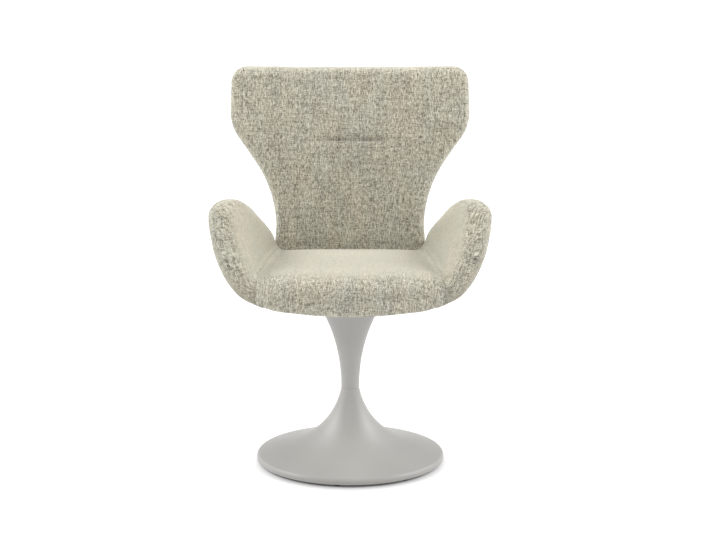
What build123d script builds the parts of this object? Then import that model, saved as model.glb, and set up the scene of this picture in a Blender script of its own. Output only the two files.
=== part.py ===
"""Pedestal swivel armchair: an upholstered winged chair that turns on a trumpet-shaped metal pedestal.

Millimetres. The origin is on the floor under the middle of the pedestal, +Z is up and the sitter
faces -Y, so the sitter's left hand is at +X. Each separate piece of the chair is written to parts/
as its own STEP file.
"""

from build123d import *
from math import asin, cos, degrees, radians, sin, sqrt, tan
import os

os.makedirs("parts", exist_ok=True)

# ---------------------------------------------------------------- clearances
seat_gap = 0.3  # between soft pieces and what they lie against
fit_gap = 0.05  # between a pin, bush or bolt and its hole
neck_gap = 0.6  # open line between the fixed trumpet and the turning cone

# ---------------------------------------------------------------- pedestal foot
base_diameter = 460.0
base_radius = base_diameter / 2
base_wall = 3.5
rim_bottom = 5.0  # the rim hangs this far above the floor
rim_round = 8.0
disc_slope = 15.0  # degrees, the flat cone that the foot ends in
disc_edge_height = 17.8  # top of the rim before it is rounded
neck_radius = 22.0
neck_height = 182.0
neck_flare = 10.8  # degrees off vertical, where the trumpet leaves the neck

plate_thickness = 8.0
plate_rim_play = 6.0  # plate edge to the inside of the rim
boss_circle = 190.0
boss_radius = 6.0
boss_count = 4
boss_screw_radius = 2.5
boss_screw_head_radius = 4.8
boss_root = 0.4  # the bosses run this far into the shell
boss_floor = 2.5  # metal left above their screw holes

glide_count = 8
glide_first_angle = -98.5  # degrees from +X: one glide stands just left of the front
glide_inset = 17.0  # rim to glide centre
glide_radius = 11.0
glide_foot_radius = 9.5
glide_peg_radius = 4.0
glide_peg_length = 6.0
glide_taper = -9.0  # degrees, the foot widens upwards

# ---------------------------------------------------------------- swivel
post_radius = 17.0
post_bore_radius = 14.5
post_top = 330.0
flange_radius = 55.0
flange_thickness = 8.0
flange_bolt_circle = 40.0
flange_bolt_count = 4
flange_bolt_radius = 4.0
flange_head_radius = 6.5
flange_head_height = 8.0
sleeve_length = 24.0  # plastic sleeve that centres the trumpet's neck on the post
neck_ring_thickness = 0.4
neck_ring_width = 3.6
neck_ring_inset = 0.6  # from the neck's face

spindle_radius = 12.5
spindle_bottom = 58.0
lower_bush_bottom = 68.0
bush_length = 26.0
bush_flange = 2.5
thrust_thickness = 2.5
thrust_play = 0.1
collar_thickness = 6.0
clip_thickness = 1.6
clip_radius = 14.0
groove_radius = 11.3

cone_wall = 3.0
cone_lip = 6.0  # short upright lip at the cone's foot
cone_flare_radius = 405.0
cone_flange_thickness = 4.0
cone_flange_bore = 46.0
cone_screw_circle = 62.0
cone_screw_count = 4
cone_screw_radius = 2.5
cone_screw_head_radius = 4.6

# ---------------------------------------------------------------- seat frame
underside_height = 408.5  # lowest line of the upholstery, along the middle
underside_radius = 1750.0  # the underside is a trough with this radius, seen from the front
underpad_depth = 11.5  # underside to the seat board, along the middle
board_thickness = 14.0
board_half_width = 150.0
board_front = -185.0
board_rear = 150.0
board_corner = 45.0
plate_side = 220.0
seat_plate_thickness = 6.0
seat_plate_corner = 34.0
seat_bolt_spacing = 170.0
seat_bolt_radius = 4.0
bolt_head_radius = 6.5
bolt_head_height = 5.5
hub_radius = 24.0
hub_height = 22.0
tee_flange_radius = 10.0
tee_flange_thickness = 1.5
tee_barrel_radius = 5.2
tee_barrel_length = 10.0
underpad_half_width = 172.0
underpad_front = -195.0
underpad_rear = 172.0
underpad_window_play = 3.0

# ---------------------------------------------------------------- seat cushion
cushion_half_width = 224.0
cushion_front = -255.0  # front of the roll, at the middle
cushion_front_wrap = 60.0  # how far the front comes back at the sides
cushion_rear = 235.0
cushion_depth = 99.5  # underside to the crown
crown_y = -165.0
crown_fall_side = 30.0  # drop of the crown line at the sides
crown_fall_rear = 22.0  # the top falls towards the back
side_round_drop = 13.0  # the sides are drawn in: the crown line drops this much more at their very edge
side_round_back = 30.0  # and the front comes back this much more
roll_height = 56.0  # crown down to the front of the roll
roll_side_loss = 14.0  # how much of that is lost towards the sides
roll_edge_loss = 18.0  # and at their very edge
apron_tuck = 9.0  # the apron leans back this far
apron_corner = 15.0  # rounding of its lower edge

# ---------------------------------------------------------------- back
back_recline = 9.5  # degrees
back_foot_y = 212.3  # middle of the back board at its foot
back_foot_rise = 1.5  # underside to the foot of the back
back_height = 941.0
back_plan_radius = 950.0  # the back wraps forward round the sitter on this radius
back_board_thickness = 12.0
back_board_inset = 38.0
back_front_foam = 31.0
back_rear_foam = 15.0
back_edge_round = 24.0
back_foot_round = 36.0
waist_half_width = 189.0
waist_share = 0.239  # how far up the back the waist starts to open into the wings
waist_arc_radius = 300.0
wing_slope = 33.7  # degrees off vertical
wing_half_width = 300.0
wing_arc_radius = 110.0
wing_top_taper = 2.5
top_corner_round = 42.0
board_corner_round = 10.0
crease_drop = 180.0  # from the top of the back down to the crease
crease_half_width = 92.0
crease_depth = 3.5
crease_tool_radius = 7.0
crease_sweep = 34.0  # degrees
bracket_offset = 50.0
bracket_width = 36.0
bracket_thickness = 5.0
bracket_foot = 130.0
bracket_rise = 120.0
bracket_bend = 14.0
bracket_screw_steps = (16.0, 50.0)  # from the foot's end
bracket_leg_steps = (54.0, 100.0)  # from the bend
bracket_screw_radius = 3.0
bracket_screw_head_radius = 5.5
bracket_screw_head_height = 3.0

# ---------------------------------------------------------------- arms
rod_radius = 5.0
rod_bend = 24.0
rod_weld = 0.5  # the rod sinks this far into its foot plate
arm_rod_front = -96.0
arm_rod_rear = 122.0
arm_rod_start = 106.0
arm_rod_toe = (248.0, -112.0)  # where the rod starts to climb in the arm's front, seen from above
arm_rod_climb = 30.0
arm_rod_tip = (289.0, -92.0, 195.5)  # the last size is the height above the underside
arm_rod_heel = (224.0, 112.0, 75.5)
arm_rod_return = 212.0
foot_plate_inner = 100.0
foot_plate_width = 46.0
foot_plate_front = -118.0
foot_plate_rear = 142.0
foot_plate_thickness = 4.0
foot_plate_corner = 8.0
arm_screw_spacing = 72.0
arm_screw_radius = 3.0
arm_screw_head_radius = 5.5
arm_screw_head_height = 3.5

# Level sections of the sitter's left arm, from its foot to its tip: height above the underside,
# front centre x and y, rear centre x and y, half thickness, length of the rear rounding.
arm_sections = [
    (21.5, 219.0, -178.0, 188.0, 158.0, 4.0, 6.0),
    (25.5, 225.0, -180.0, 190.0, 160.0, 7.0, 10.0),
    (32.5, 231.5, -177.0, 195.0, 163.0, 12.5, 18.0),
    (43.5, 239.5, -171.0, 202.0, 166.0, 20.0, 26.0),
    (54.5, 245.0, -165.0, 208.0, 168.0, 26.0, 30.0),
    (69.5, 252.5, -156.0, 215.0, 168.0, 32.0, 36.0),
    (97.5, 266.0, -142.0, 221.0, 158.0, 35.5, 50.0),
    (131.5, 281.0, -127.0, 232.0, 92.0, 35.5, 72.0),
    (166.5, 290.5, -110.0, 248.0, 24.0, 35.5, 70.0),
    (201.5, 297.5, -92.0, 268.0, -32.0, 35.5, 60.0),
    (225.5, 299.0, -79.0, 280.0, -48.0, 33.5, 46.0),
    (239.5, 296.0, -71.0, 285.0, -53.0, 26.5, 32.0),
    (249.0, 293.0, -66.0, 288.0, -58.0, 15.0, 19.0),
    (252.5, 292.0, -64.0, 290.0, -61.0, 4.0, 5.0),
]


# ---------------------------------------------------------------- derived sizes
flare = radians(neck_flare)
slope = radians(disc_slope)
edge_run = base_radius - neck_radius
edge_drop = neck_height - disc_edge_height
trumpet_radius = (edge_drop - edge_run * tan(slope)) / (
    (cos(slope) - sin(flare)) - (cos(flare) - sin(slope)) * tan(slope)
)
trumpet_centre_x = neck_radius + trumpet_radius * cos(flare)
trumpet_centre_z = neck_height + trumpet_radius * sin(flare)
inner_trumpet_radius = trumpet_radius + base_wall
inner_neck_angle = degrees(asin((trumpet_centre_z - neck_height) / inner_trumpet_radius))


def inner_disc_height(radius):
    """Height of the foot's inner face on its flat cone."""
    return disc_edge_height + (base_radius - radius) * tan(slope) - base_wall / cos(slope)


plate_radius = base_radius - base_wall - plate_rim_play
plate_top = inner_disc_height(plate_radius) - seat_gap
plate_bottom = plate_top - plate_thickness
flange_top = plate_top + flange_thickness
bush_top = post_top + bush_flange
collar_bottom = bush_top + thrust_thickness + thrust_play
board_bottom = underside_height + underpad_depth
crown_height = underside_height + cushion_depth
back_foot_height = underside_height + back_foot_rise
seat_plate_top = board_bottom
seat_plate_bottom = seat_plate_top - seat_plate_thickness
board_top = board_bottom + board_thickness
cone_bottom = neck_height + neck_gap
cone_lip_top = cone_bottom + cone_lip
cone_arc_angle = degrees(asin((seat_plate_bottom - cone_lip_top) / cone_flare_radius))
glide_circle = base_radius - glide_inset
foot_plate_top = board_top + foot_plate_thickness
rod_height = foot_plate_top + rod_radius - rod_weld
foot_plate_x = foot_plate_inner + foot_plate_width / 2
foot_plate_middle = (foot_plate_front + foot_plate_rear) / 2
board_half_thickness = back_board_thickness / 2
front_depth = board_half_thickness + back_front_foam
rear_depth = board_half_thickness + back_rear_foam
recline = radians(back_recline)
bracket_sag = (bracket_offset + bracket_width / 2) ** 2 / (2 * back_plan_radius)
bracket_leg_ahead = board_half_thickness + seat_gap + bracket_sag + bracket_thickness / 2
bracket_corner_z = board_top + bracket_thickness / 2
bracket_corner_y = (
    back_foot_y + (bracket_corner_z - back_foot_height) * tan(recline) - bracket_leg_ahead / cos(recline)
)
bracket_foot_start = bracket_corner_y - bracket_foot


def underside(x):
    """Height of the upholstery's underside at a distance from the middle."""
    return underside_height + underside_radius - sqrt(underside_radius**2 - x**2)


def save(piece, label):
    """Name one finished piece and write it to its own file."""
    piece.label = label
    export_step(piece, f"parts/{label}.step")


# ================================================================ pedestal foot
# Spun trumpet: an open shell whose neck flares through one arc into a flat cone and a rounded rim,
# with four bosses inside that the ballast plate is screwed to.
arc_end_angle = 270 - disc_slope
arc_size = arc_end_angle - (180 + neck_flare)
inner_arc_start = 180 + inner_neck_angle
boss_top = inner_disc_height(boss_circle - boss_radius) + boss_root

with BuildPart() as trumpet_base:
    with BuildSketch(Plane.XZ) as trumpet_profile:
        with BuildLine():
            outer_arc = CenterArc(
                (trumpet_centre_x, trumpet_centre_z), trumpet_radius, 180 + neck_flare, arc_size
            )
            inner_arc = CenterArc(
                (trumpet_centre_x, trumpet_centre_z),
                inner_trumpet_radius,
                inner_arc_start,
                arc_end_angle - inner_arc_start,
            )
            Polyline(
                outer_arc @ 1,
                (base_radius, disc_edge_height),
                (base_radius, rim_bottom),
                (base_radius - base_wall, rim_bottom),
                (base_radius - base_wall, inner_disc_height(base_radius - base_wall)),
                inner_arc @ 1,
            )
            Line(outer_arc @ 0, inner_arc @ 0)
        make_face()
        rim_corner = (base_radius, disc_edge_height)
        fillet(trumpet_profile.vertices().sort_by_distance(rim_corner)[0], rim_round)
        inner_rim_corner = (base_radius - base_wall, inner_disc_height(base_radius - base_wall))
        fillet(trumpet_profile.vertices().sort_by_distance(inner_rim_corner)[0], rim_round - base_wall)
    revolve(axis=Axis.Z)
    with BuildSketch(Plane.XY.offset(plate_top)):
        with PolarLocations(boss_circle, boss_count, start_angle=45):
            Circle(boss_radius)
    extrude(amount=boss_top - plate_top)
    with BuildSketch(Plane.XY.offset(plate_top)):
        with PolarLocations(boss_circle, boss_count, start_angle=45):
            Circle(boss_screw_radius + fit_gap)
    extrude(amount=boss_top - plate_top - boss_floor, mode=Mode.SUBTRACT)
save(trumpet_base.part, "trumpet_base")

# Ballast plate: the steel disc that carries the post, the glides and the trumpet.
with BuildPart() as ballast_plate:
    with BuildSketch(Plane.XY.offset(plate_bottom)):
        Circle(plate_radius)
        with PolarLocations(glide_circle, glide_count, start_angle=glide_first_angle):
            Circle(glide_peg_radius + fit_gap, mode=Mode.SUBTRACT)
        with PolarLocations(flange_bolt_circle, flange_bolt_count, start_angle=45):
            Circle(flange_bolt_radius + fit_gap, mode=Mode.SUBTRACT)
    extrude(amount=plate_thickness)
    with Locations(Plane.XY.offset(plate_bottom)):
        with PolarLocations(boss_circle, boss_count, start_angle=45):
            with Locations(Rotation(180, 0, 0)):
                CounterSinkHole(
                    boss_screw_radius + fit_gap, boss_screw_head_radius + fit_gap, depth=plate_thickness
                )
save(ballast_plate.part, "ballast_plate")

# Glides: black plastic feet, a little narrower at the floor, each on a peg in the plate.
with BuildPart() as glides:
    with BuildSketch() as glide_feet:
        with PolarLocations(glide_circle, glide_count, start_angle=glide_first_angle):
            Circle(glide_foot_radius)
    with BuildSketch(Plane.XY.offset(plate_bottom)):
        with PolarLocations(glide_circle, glide_count, start_angle=glide_first_angle):
            Circle(glide_peg_radius)
    extrude(glide_feet.sketch, amount=plate_bottom, taper=glide_taper)
    extrude(amount=glide_peg_length)
save(glides.part, "glides")


# ================================================================ fasteners
def headed_screw(shank_radius, shank_length, head_radius, head_height):
    """Screw with its head standing on Z = 0, its shank below and a hexagon socket in the head."""
    with BuildPart() as screw:
        Cylinder(head_radius, head_height, align=(Align.CENTER, Align.CENTER, Align.MIN))
        Cylinder(shank_radius, shank_length, align=(Align.CENTER, Align.CENTER, Align.MAX))
        with BuildSketch(Plane.XY.offset(head_height)):
            RegularPolygon(head_radius / 2, 6)
        extrude(amount=-head_height / 2, mode=Mode.SUBTRACT)
        fillet(screw.faces().sort_by(Axis.Z)[-1].outer_wire().edges(), head_height / 8)
    return screw.part


def countersunk_screw(shank_radius, length, head_radius):
    """Flat-headed screw with its head's flat face on Z = 0 and its shank below."""
    with BuildPart() as screw:
        Cylinder(shank_radius, length, align=(Align.CENTER, Align.CENTER, Align.MAX))
        Cone(
            shank_radius,
            head_radius,
            head_radius - shank_radius,
            align=(Align.CENTER, Align.CENTER, Align.MAX),
        )
    return screw.part


# Countersunk screws up through the ballast plate into the trumpet's bosses.
foot_screw = countersunk_screw(boss_screw_radius, boss_top - 4 - plate_bottom, boss_screw_head_radius)
with BuildPart(Plane.XY.offset(plate_bottom)) as foot_screws:
    with PolarLocations(boss_circle, boss_count, start_angle=45):
        add(foot_screw, rotation=(180, 0, 0))
save(foot_screws.part, "foot_screws")


# ================================================================ swivel, fixed half
# Post: a tube welded to a round flange.
with BuildPart() as swivel_post:
    with BuildSketch(Plane.XY.offset(plate_top)):
        Circle(flange_radius)
        with PolarLocations(flange_bolt_circle, flange_bolt_count, start_angle=45):
            Circle(flange_bolt_radius + fit_gap, mode=Mode.SUBTRACT)
    extrude(amount=flange_thickness)
    chamfer(swivel_post.faces().sort_by(Axis.Z)[-1].outer_wire().edges(), 1.5)
    with BuildSketch(Plane.XY.offset(flange_top)):
        Circle(post_radius)
    extrude(amount=post_top - flange_top)
    with BuildSketch(Plane.XY.offset(plate_top)):
        Circle(post_bore_radius)
    extrude(amount=post_top - plate_top, mode=Mode.SUBTRACT)
save(swivel_post.part, "swivel_post")

flange_screw = headed_screw(
    flange_bolt_radius, flange_thickness + plate_thickness - 1, flange_head_radius, flange_head_height
)
with BuildPart(Plane.XY.offset(flange_top)) as flange_screws:
    with PolarLocations(flange_bolt_circle, flange_bolt_count, start_angle=45):
        add(flange_screw)
save(flange_screws.part, "flange_screws")

# Sleeve that centres the trumpet's neck on the post.
sleeve_outer = neck_radius - base_wall / cos(flare) - fit_gap
with BuildPart() as neck_sleeve:
    with BuildSketch(Plane.XY.offset(neck_height - sleeve_length)):
        Circle(sleeve_outer)
        Circle(post_radius + fit_gap, mode=Mode.SUBTRACT)
    extrude(amount=sleeve_length)
save(neck_sleeve.part, "neck_sleeve")

# Thin ring that closes the parting line at the neck.
with BuildPart() as neck_ring:
    with BuildSketch(Plane.XY.offset(neck_height)):
        Circle(neck_radius - neck_ring_inset)
        Circle(neck_radius - neck_ring_inset - neck_ring_width, mode=Mode.SUBTRACT)
    extrude(amount=neck_ring_thickness)
save(neck_ring.part, "neck_ring")

# Plastic bushes at both ends of the post. The upper one has a flange under the thrust washer.
with BuildPart() as lower_bush:
    with BuildSketch(Plane.XY.offset(lower_bush_bottom)):
        Circle(post_bore_radius - fit_gap)
        Circle(spindle_radius + fit_gap, mode=Mode.SUBTRACT)
    extrude(amount=bush_length)
save(lower_bush.part, "lower_bush")

with BuildPart() as upper_bush:
    with BuildSketch(Plane.XY.offset(post_top - bush_length)):
        Circle(post_bore_radius - fit_gap)
    extrude(amount=bush_length)
    with BuildSketch(Plane.XY.offset(post_top)):
        Circle(post_radius)
    extrude(amount=bush_flange)
    with BuildSketch(Plane.XY.offset(post_top - bush_length)):
        Circle(spindle_radius + fit_gap)
    extrude(amount=bush_length + bush_flange, mode=Mode.SUBTRACT)
save(upper_bush.part, "upper_bush")

with BuildPart() as thrust_washer:
    with BuildSketch(Plane.XY.offset(bush_top)):
        Circle(post_radius)
        Circle(spindle_radius + fit_gap, mode=Mode.SUBTRACT)
    extrude(amount=thrust_thickness)
save(thrust_washer.part, "thrust_washer")


# ================================================================ swivel, turning half
# Spindle: a turned bar with a collar that rides on the thrust washer and a groove for its clip.
groove_bottom = lower_bush_bottom - seat_gap - clip_thickness - 2 * fit_gap
with BuildPart() as spindle:
    with BuildSketch(Plane.XY.offset(spindle_bottom)):
        Circle(spindle_radius)
    extrude(amount=seat_plate_top - spindle_bottom)
    with BuildSketch(Plane.XY.offset(collar_bottom)):
        Circle(post_radius)
    extrude(amount=collar_thickness)
    with BuildSketch(Plane.XY.offset(groove_bottom)):
        Circle(spindle_radius + 1)
        Circle(groove_radius, mode=Mode.SUBTRACT)
    extrude(amount=clip_thickness + 2 * fit_gap, mode=Mode.SUBTRACT)
    chamfer(spindle.faces().sort_by(Axis.Z)[0].edges(), 1.5)
save(spindle.part, "spindle")

# Retaining clip: an open ring snapped into the groove under the lower bush.
with BuildPart() as spindle_clip:
    with BuildSketch(Plane.XY.offset(groove_bottom + fit_gap)):
        Circle(clip_radius)
        Circle(groove_radius + fit_gap, mode=Mode.SUBTRACT)
        with Locations((0, clip_radius)):
            Rectangle(1.2 * groove_radius, 2 * clip_radius, mode=Mode.SUBTRACT)
    extrude(amount=clip_thickness)
save(spindle_clip.part, "spindle_clip")

# Upper cone: an open shell that flares from the neck up to the seat, with a bolting flange inside.
cone_centre = (neck_radius + cone_flare_radius, cone_lip_top)


def cone_inner_radius(height):
    """Inner radius of the upper cone at a height on its flare."""
    rise = height - cone_lip_top
    return cone_centre[0] - sqrt((cone_flare_radius + cone_wall) ** 2 - rise**2)


with BuildPart() as column_cone:
    with BuildSketch(Plane.XZ):
        with BuildLine():
            cone_outer = CenterArc(cone_centre, cone_flare_radius, 180, -cone_arc_angle)
            inner_angle = degrees(
                asin((seat_plate_bottom - cone_lip_top) / (cone_flare_radius + cone_wall))
            )
            cone_inner = CenterArc(cone_centre, cone_flare_radius + cone_wall, 180, -inner_angle)
            Line(cone_outer @ 1, cone_inner @ 1)
            Polyline(
                cone_outer @ 0,
                (neck_radius, cone_bottom),
                (neck_radius - cone_wall, cone_bottom),
                cone_inner @ 0,
            )
        make_face()
    revolve(axis=Axis.Z)
    with BuildSketch(Plane.XY.offset(seat_plate_bottom)):
        Circle(cone_inner_radius(seat_plate_bottom - cone_flange_thickness) + cone_wall / 3)
        Circle(cone_flange_bore, mode=Mode.SUBTRACT)
        with PolarLocations(cone_screw_circle, cone_screw_count, start_angle=45):
            Circle(cone_screw_radius + fit_gap, mode=Mode.SUBTRACT)
    extrude(amount=-cone_flange_thickness)
save(column_cone.part, "column_cone")


# ================================================================ seat frame
# Seat plate: a square steel plate with a welded hub for the spindle.
with BuildPart() as seat_plate:
    with BuildSketch(Plane.XY.offset(seat_plate_bottom)):
        RectangleRounded(plate_side, plate_side, seat_plate_corner)
    extrude(amount=seat_plate_thickness)
    with BuildSketch(Plane.XY.offset(seat_plate_bottom)):
        Circle(hub_radius)
    extrude(amount=-hub_height)
    with BuildSketch(Plane.XY.offset(seat_plate_top)):
        Circle(spindle_radius + fit_gap)
        with GridLocations(seat_bolt_spacing, seat_bolt_spacing, 2, 2):
            Circle(seat_bolt_radius + fit_gap)
    extrude(amount=-seat_plate_thickness - hub_height, mode=Mode.SUBTRACT)
    with Locations(Plane.XY.offset(seat_plate_top)):
        with PolarLocations(cone_screw_circle, cone_screw_count, start_angle=45):
            CounterSinkHole(
                cone_screw_radius + fit_gap, cone_screw_head_radius + fit_gap, depth=seat_plate_thickness
            )
save(seat_plate.part, "seat_plate")

cone_screw = countersunk_screw(
    cone_screw_radius, seat_plate_thickness + cone_flange_thickness, cone_screw_head_radius
)
with BuildPart(Plane.XY.offset(seat_plate_top)) as cone_screws:
    with PolarLocations(cone_screw_circle, cone_screw_count, start_angle=45):
        add(cone_screw)
save(cone_screws.part, "cone_screws")

# Seat board: plywood with rounded corners, bored for the tee nuts and for the screws of the frames.
arm_screw_places = [
    (side * foot_plate_x, foot_plate_middle + step * arm_screw_spacing)
    for side in (1, -1)
    for step in (-1, 0, 1)
]
bracket_screw_places = [
    (side * bracket_offset, bracket_foot_start + step) for side in (1, -1) for step in bracket_screw_steps
]
board_length = board_rear - board_front
board_middle = (board_rear + board_front) / 2
with BuildPart() as seat_board:
    with BuildSketch(Plane.XY.offset(board_bottom)):
        with Locations((0, board_middle)):
            RectangleRounded(2 * board_half_width, board_length, board_corner)
        with GridLocations(seat_bolt_spacing, seat_bolt_spacing, 2, 2):
            Circle(tee_barrel_radius + fit_gap, mode=Mode.SUBTRACT)
        with Locations(arm_screw_places, bracket_screw_places):
            Circle(arm_screw_radius + fit_gap, mode=Mode.SUBTRACT)
    extrude(amount=board_thickness)
save(seat_board.part, "seat_board")

# Tee nuts: flanged threaded barrels let into the board from above.
with BuildPart() as tee_nuts:
    with BuildSketch(Plane.XY.offset(board_top)):
        with GridLocations(seat_bolt_spacing, seat_bolt_spacing, 2, 2):
            Circle(tee_flange_radius)
    extrude(amount=tee_flange_thickness)
    with BuildSketch(Plane.XY.offset(board_top)):
        with GridLocations(seat_bolt_spacing, seat_bolt_spacing, 2, 2):
            Circle(tee_barrel_radius)
    extrude(amount=-tee_barrel_length)
    with BuildSketch(Plane.XY.offset(board_top + tee_flange_thickness)):
        with GridLocations(seat_bolt_spacing, seat_bolt_spacing, 2, 2):
            Circle(seat_bolt_radius + fit_gap)
    extrude(amount=-tee_barrel_length - tee_flange_thickness, mode=Mode.SUBTRACT)
save(tee_nuts.part, "tee_nuts")

# Bolts up through the seat plate and the board into the tee nuts.
seat_bolt = headed_screw(
    seat_bolt_radius, board_top - seat_plate_bottom, bolt_head_radius, bolt_head_height
)
with BuildPart(Plane.XY.offset(seat_plate_bottom)) as seat_bolts:
    with GridLocations(seat_bolt_spacing, seat_bolt_spacing, 2, 2):
        add(seat_bolt, rotation=(180, 0, 0))
save(seat_bolts.part, "seat_bolts")


# ================================================================ back, its solids of construction
back_axis = Vector(0, sin(recline), cos(recline))
back_foot = Vector(0, back_foot_y, back_foot_height)
back_face = Plane(origin=back_foot, x_dir=(1, 0, 0), z_dir=(0, -cos(recline), sin(recline)))
back_section = Plane(origin=back_foot, x_dir=(1, 0, 0), z_dir=back_axis)
layer_reach = 150.0  # the construction solids pass this far beyond the back


def along_back(height):
    """Distance up the reclined back from its foot, for a height above the floor."""
    return (height - back_foot_height) / cos(recline)


def back_layer(front, rear):
    """Curved sheet that follows the back: it reaches front ahead of and rear behind the board's middle."""
    with BuildPart() as layer:
        with BuildSketch(back_section.offset(-layer_reach)):
            with Locations((0, -back_plan_radius)):
                Circle(back_plan_radius + rear)
                Circle(back_plan_radius - front, mode=Mode.SUBTRACT)
            Rectangle(4 * wing_half_width, 2 * back_plan_radius / 3, mode=Mode.INTERSECT)
        extrude(amount=along_back(back_height) + 2 * layer_reach)
    return layer.part


def back_block(inset, foot_round, top_round):
    """The back's front outline, drawn in by an inset and extruded right through the back."""
    side_x = waist_half_width - inset
    side_length = waist_share * along_back(back_height) - inset
    wing_radius = wing_arc_radius - inset
    wing_x = wing_half_width - inset
    wing_start = wing_x - wing_radius * (1 - cos(radians(wing_slope)))
    top = along_back(back_height) - inset
    with BuildPart() as block:
        with BuildSketch(back_face) as outline:
            with BuildLine():
                side = Line((side_x, inset), (side_x, inset + side_length))
                waist = JernArc(side @ 1, (0, 1), waist_arc_radius + inset, -wing_slope)
                wing_rise = (wing_start - (waist @ 1).X) / tan(radians(wing_slope))
                underwing = Line(waist @ 1, (wing_start, (waist @ 1).Y + wing_rise))
                wing = JernArc(underwing @ 1, underwing % 1, wing_radius, wing_slope)
                Polyline(wing @ 1, (wing_x - wing_top_taper, top), (0, top))
                Line((0, inset), side @ 0)
                mirror(about=Plane.YZ)
            make_face()
            fillet(outline.vertices().group_by(Axis.Y)[-1], top_round)
            fillet(outline.vertices().group_by(Axis.Y)[0], foot_round)
        extrude(amount=layer_reach, both=True)
    return block.part


def back_envelope(grow):
    """The whole upholstered back with its rounded edges, grown by a clearance on every side."""
    with BuildPart() as envelope:
        add(back_block(-grow, back_foot_round + grow, top_corner_round + grow))
        add(back_layer(front_depth + grow, rear_depth + grow), mode=Mode.INTERSECT)
        broad_faces = envelope.faces().sort_by(SortBy.AREA)[-2:]
        fillet(broad_faces.edges(), back_edge_round + grow)
    return envelope.part


# ================================================================ back frame
# Back board: the plywood core, bent to the back's radius and bored for the bracket screws.
leg_places = [
    Plane(
        origin=(
            side * bracket_offset,
            bracket_corner_y + rise * sin(recline) - bracket_thickness / 2 * cos(recline),
            bracket_corner_z + rise * cos(recline) + bracket_thickness / 2 * sin(recline),
        ),
        x_dir=(1, 0, 0),
        z_dir=(0, -cos(recline), sin(recline)),
    )
    for side in (1, -1)
    for rise in bracket_leg_steps
]

with BuildPart() as back_board:
    add(back_block(back_board_inset, board_corner_round, board_corner_round))
    add(back_layer(board_half_thickness, board_half_thickness), mode=Mode.INTERSECT)
    for place in leg_places:
        with BuildSketch(place):
            Circle(bracket_screw_radius + fit_gap)
        extrude(amount=-layer_reach / 2, mode=Mode.SUBTRACT)
save(back_board.part, "back_board")


# Brackets: bent flat bars from the seat board up the face of the back board.
def bracket(side, grow):
    """The bracket on one side of the middle, thickened by a clearance."""
    top = (
        bracket_corner_y + bracket_rise * sin(recline),
        bracket_corner_z + bracket_rise * cos(recline),
    )
    with BuildPart() as bar:
        with BuildSketch(Plane.YZ.offset(side * bracket_offset)):
            with BuildLine():
                FilletPolyline(
                    (bracket_foot_start, bracket_corner_z),
                    (bracket_corner_y, bracket_corner_z),
                    top,
                    radius=bracket_bend,
                )
            trace(line_width=bracket_thickness + 2 * grow)
        extrude(amount=bracket_width / 2 + grow, both=True)
    return bar.part


for side, name in ((1, "left"), (-1, "right")):
    with BuildPart() as back_bracket:
        add(bracket(side, 0))
        with BuildSketch(Plane.XY.offset(bracket_corner_z)):
            with Locations(bracket_screw_places):
                Circle(bracket_screw_radius + fit_gap)
        extrude(amount=bracket_thickness, both=True, mode=Mode.SUBTRACT)
        for place in leg_places:
            with BuildSketch(place):
                Circle(bracket_screw_radius + fit_gap)
            extrude(amount=-bracket_thickness, mode=Mode.SUBTRACT)
    save(back_bracket.part, f"back_bracket_{name}")

bracket_screw = headed_screw(
    bracket_screw_radius, board_thickness, bracket_screw_head_radius, bracket_screw_head_height
)
with BuildPart() as back_screws:
    with Locations([Location((x, y, board_top + bracket_thickness)) for x, y in bracket_screw_places]):
        add(bracket_screw)
    with Locations([place.location for place in leg_places]):
        add(bracket_screw)
save(back_screws.part, "back_screws")


# ================================================================ arms
def arm_section(sizes, grow):
    """One level section of the left arm: two straight sides and four quarter arcs round its ends."""
    rise, front_x, front_y, rear_x, rear_y, half, rear_length = sizes
    middle = (front_x, front_y, underside_height + rise)
    run = Vector(rear_x - front_x, rear_y - front_y)
    half += grow
    rear_length += grow
    with BuildSketch(Plane(origin=middle, x_dir=(run.X, run.Y, 0))) as section:
        with BuildLine():
            Line((0, half), (run.length, half))
            Line((0, -half), (run.length, -half))
            EllipticalCenterArc((0, 0), half, half, start_angle=90, arc_size=90)
            EllipticalCenterArc((0, 0), half, half, start_angle=180, arc_size=90)
            EllipticalCenterArc((run.length, 0), rear_length, half, start_angle=0, arc_size=90)
            EllipticalCenterArc((run.length, 0), rear_length, half, start_angle=270, arc_size=90)
        make_face()
    return section.sketch


def arm_form(grow):
    """The left arm as one closed petal, grown by a clearance."""
    with BuildPart() as arm:
        loft([arm_section(sizes, grow) for sizes in arm_sections])
    return arm.part


# The rod leaves the foot plate level, climbs inside the arm's front, follows its rim and returns.
arm_rod_points = [
    (arm_rod_start, arm_rod_front, rod_height),
    (foot_plate_inner + foot_plate_width + 2 * rod_bend, arm_rod_front, rod_height),
    (*arm_rod_toe, rod_height + arm_rod_climb),
    (arm_rod_tip[0], arm_rod_tip[1], underside_height + arm_rod_tip[2]),
    (arm_rod_heel[0], arm_rod_heel[1], underside_height + arm_rod_heel[2]),
    (arm_rod_return, arm_rod_rear, rod_height + 2 * rod_radius),
    (foot_plate_inner + foot_plate_width + rod_bend, arm_rod_rear, rod_height),
    (arm_rod_start, arm_rod_rear, rod_height),
]


def rod_form(grow):
    """The left arm's bent rod, thickened by a clearance."""
    with BuildPart() as rod:
        with BuildLine() as path:
            FilletPolyline(*arm_rod_points, radius=rod_bend)
        with BuildSketch(Plane(origin=path.line @ 0, z_dir=path.line % 0)):
            Circle(rod_radius + grow)
        sweep()
    return rod.part


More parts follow.
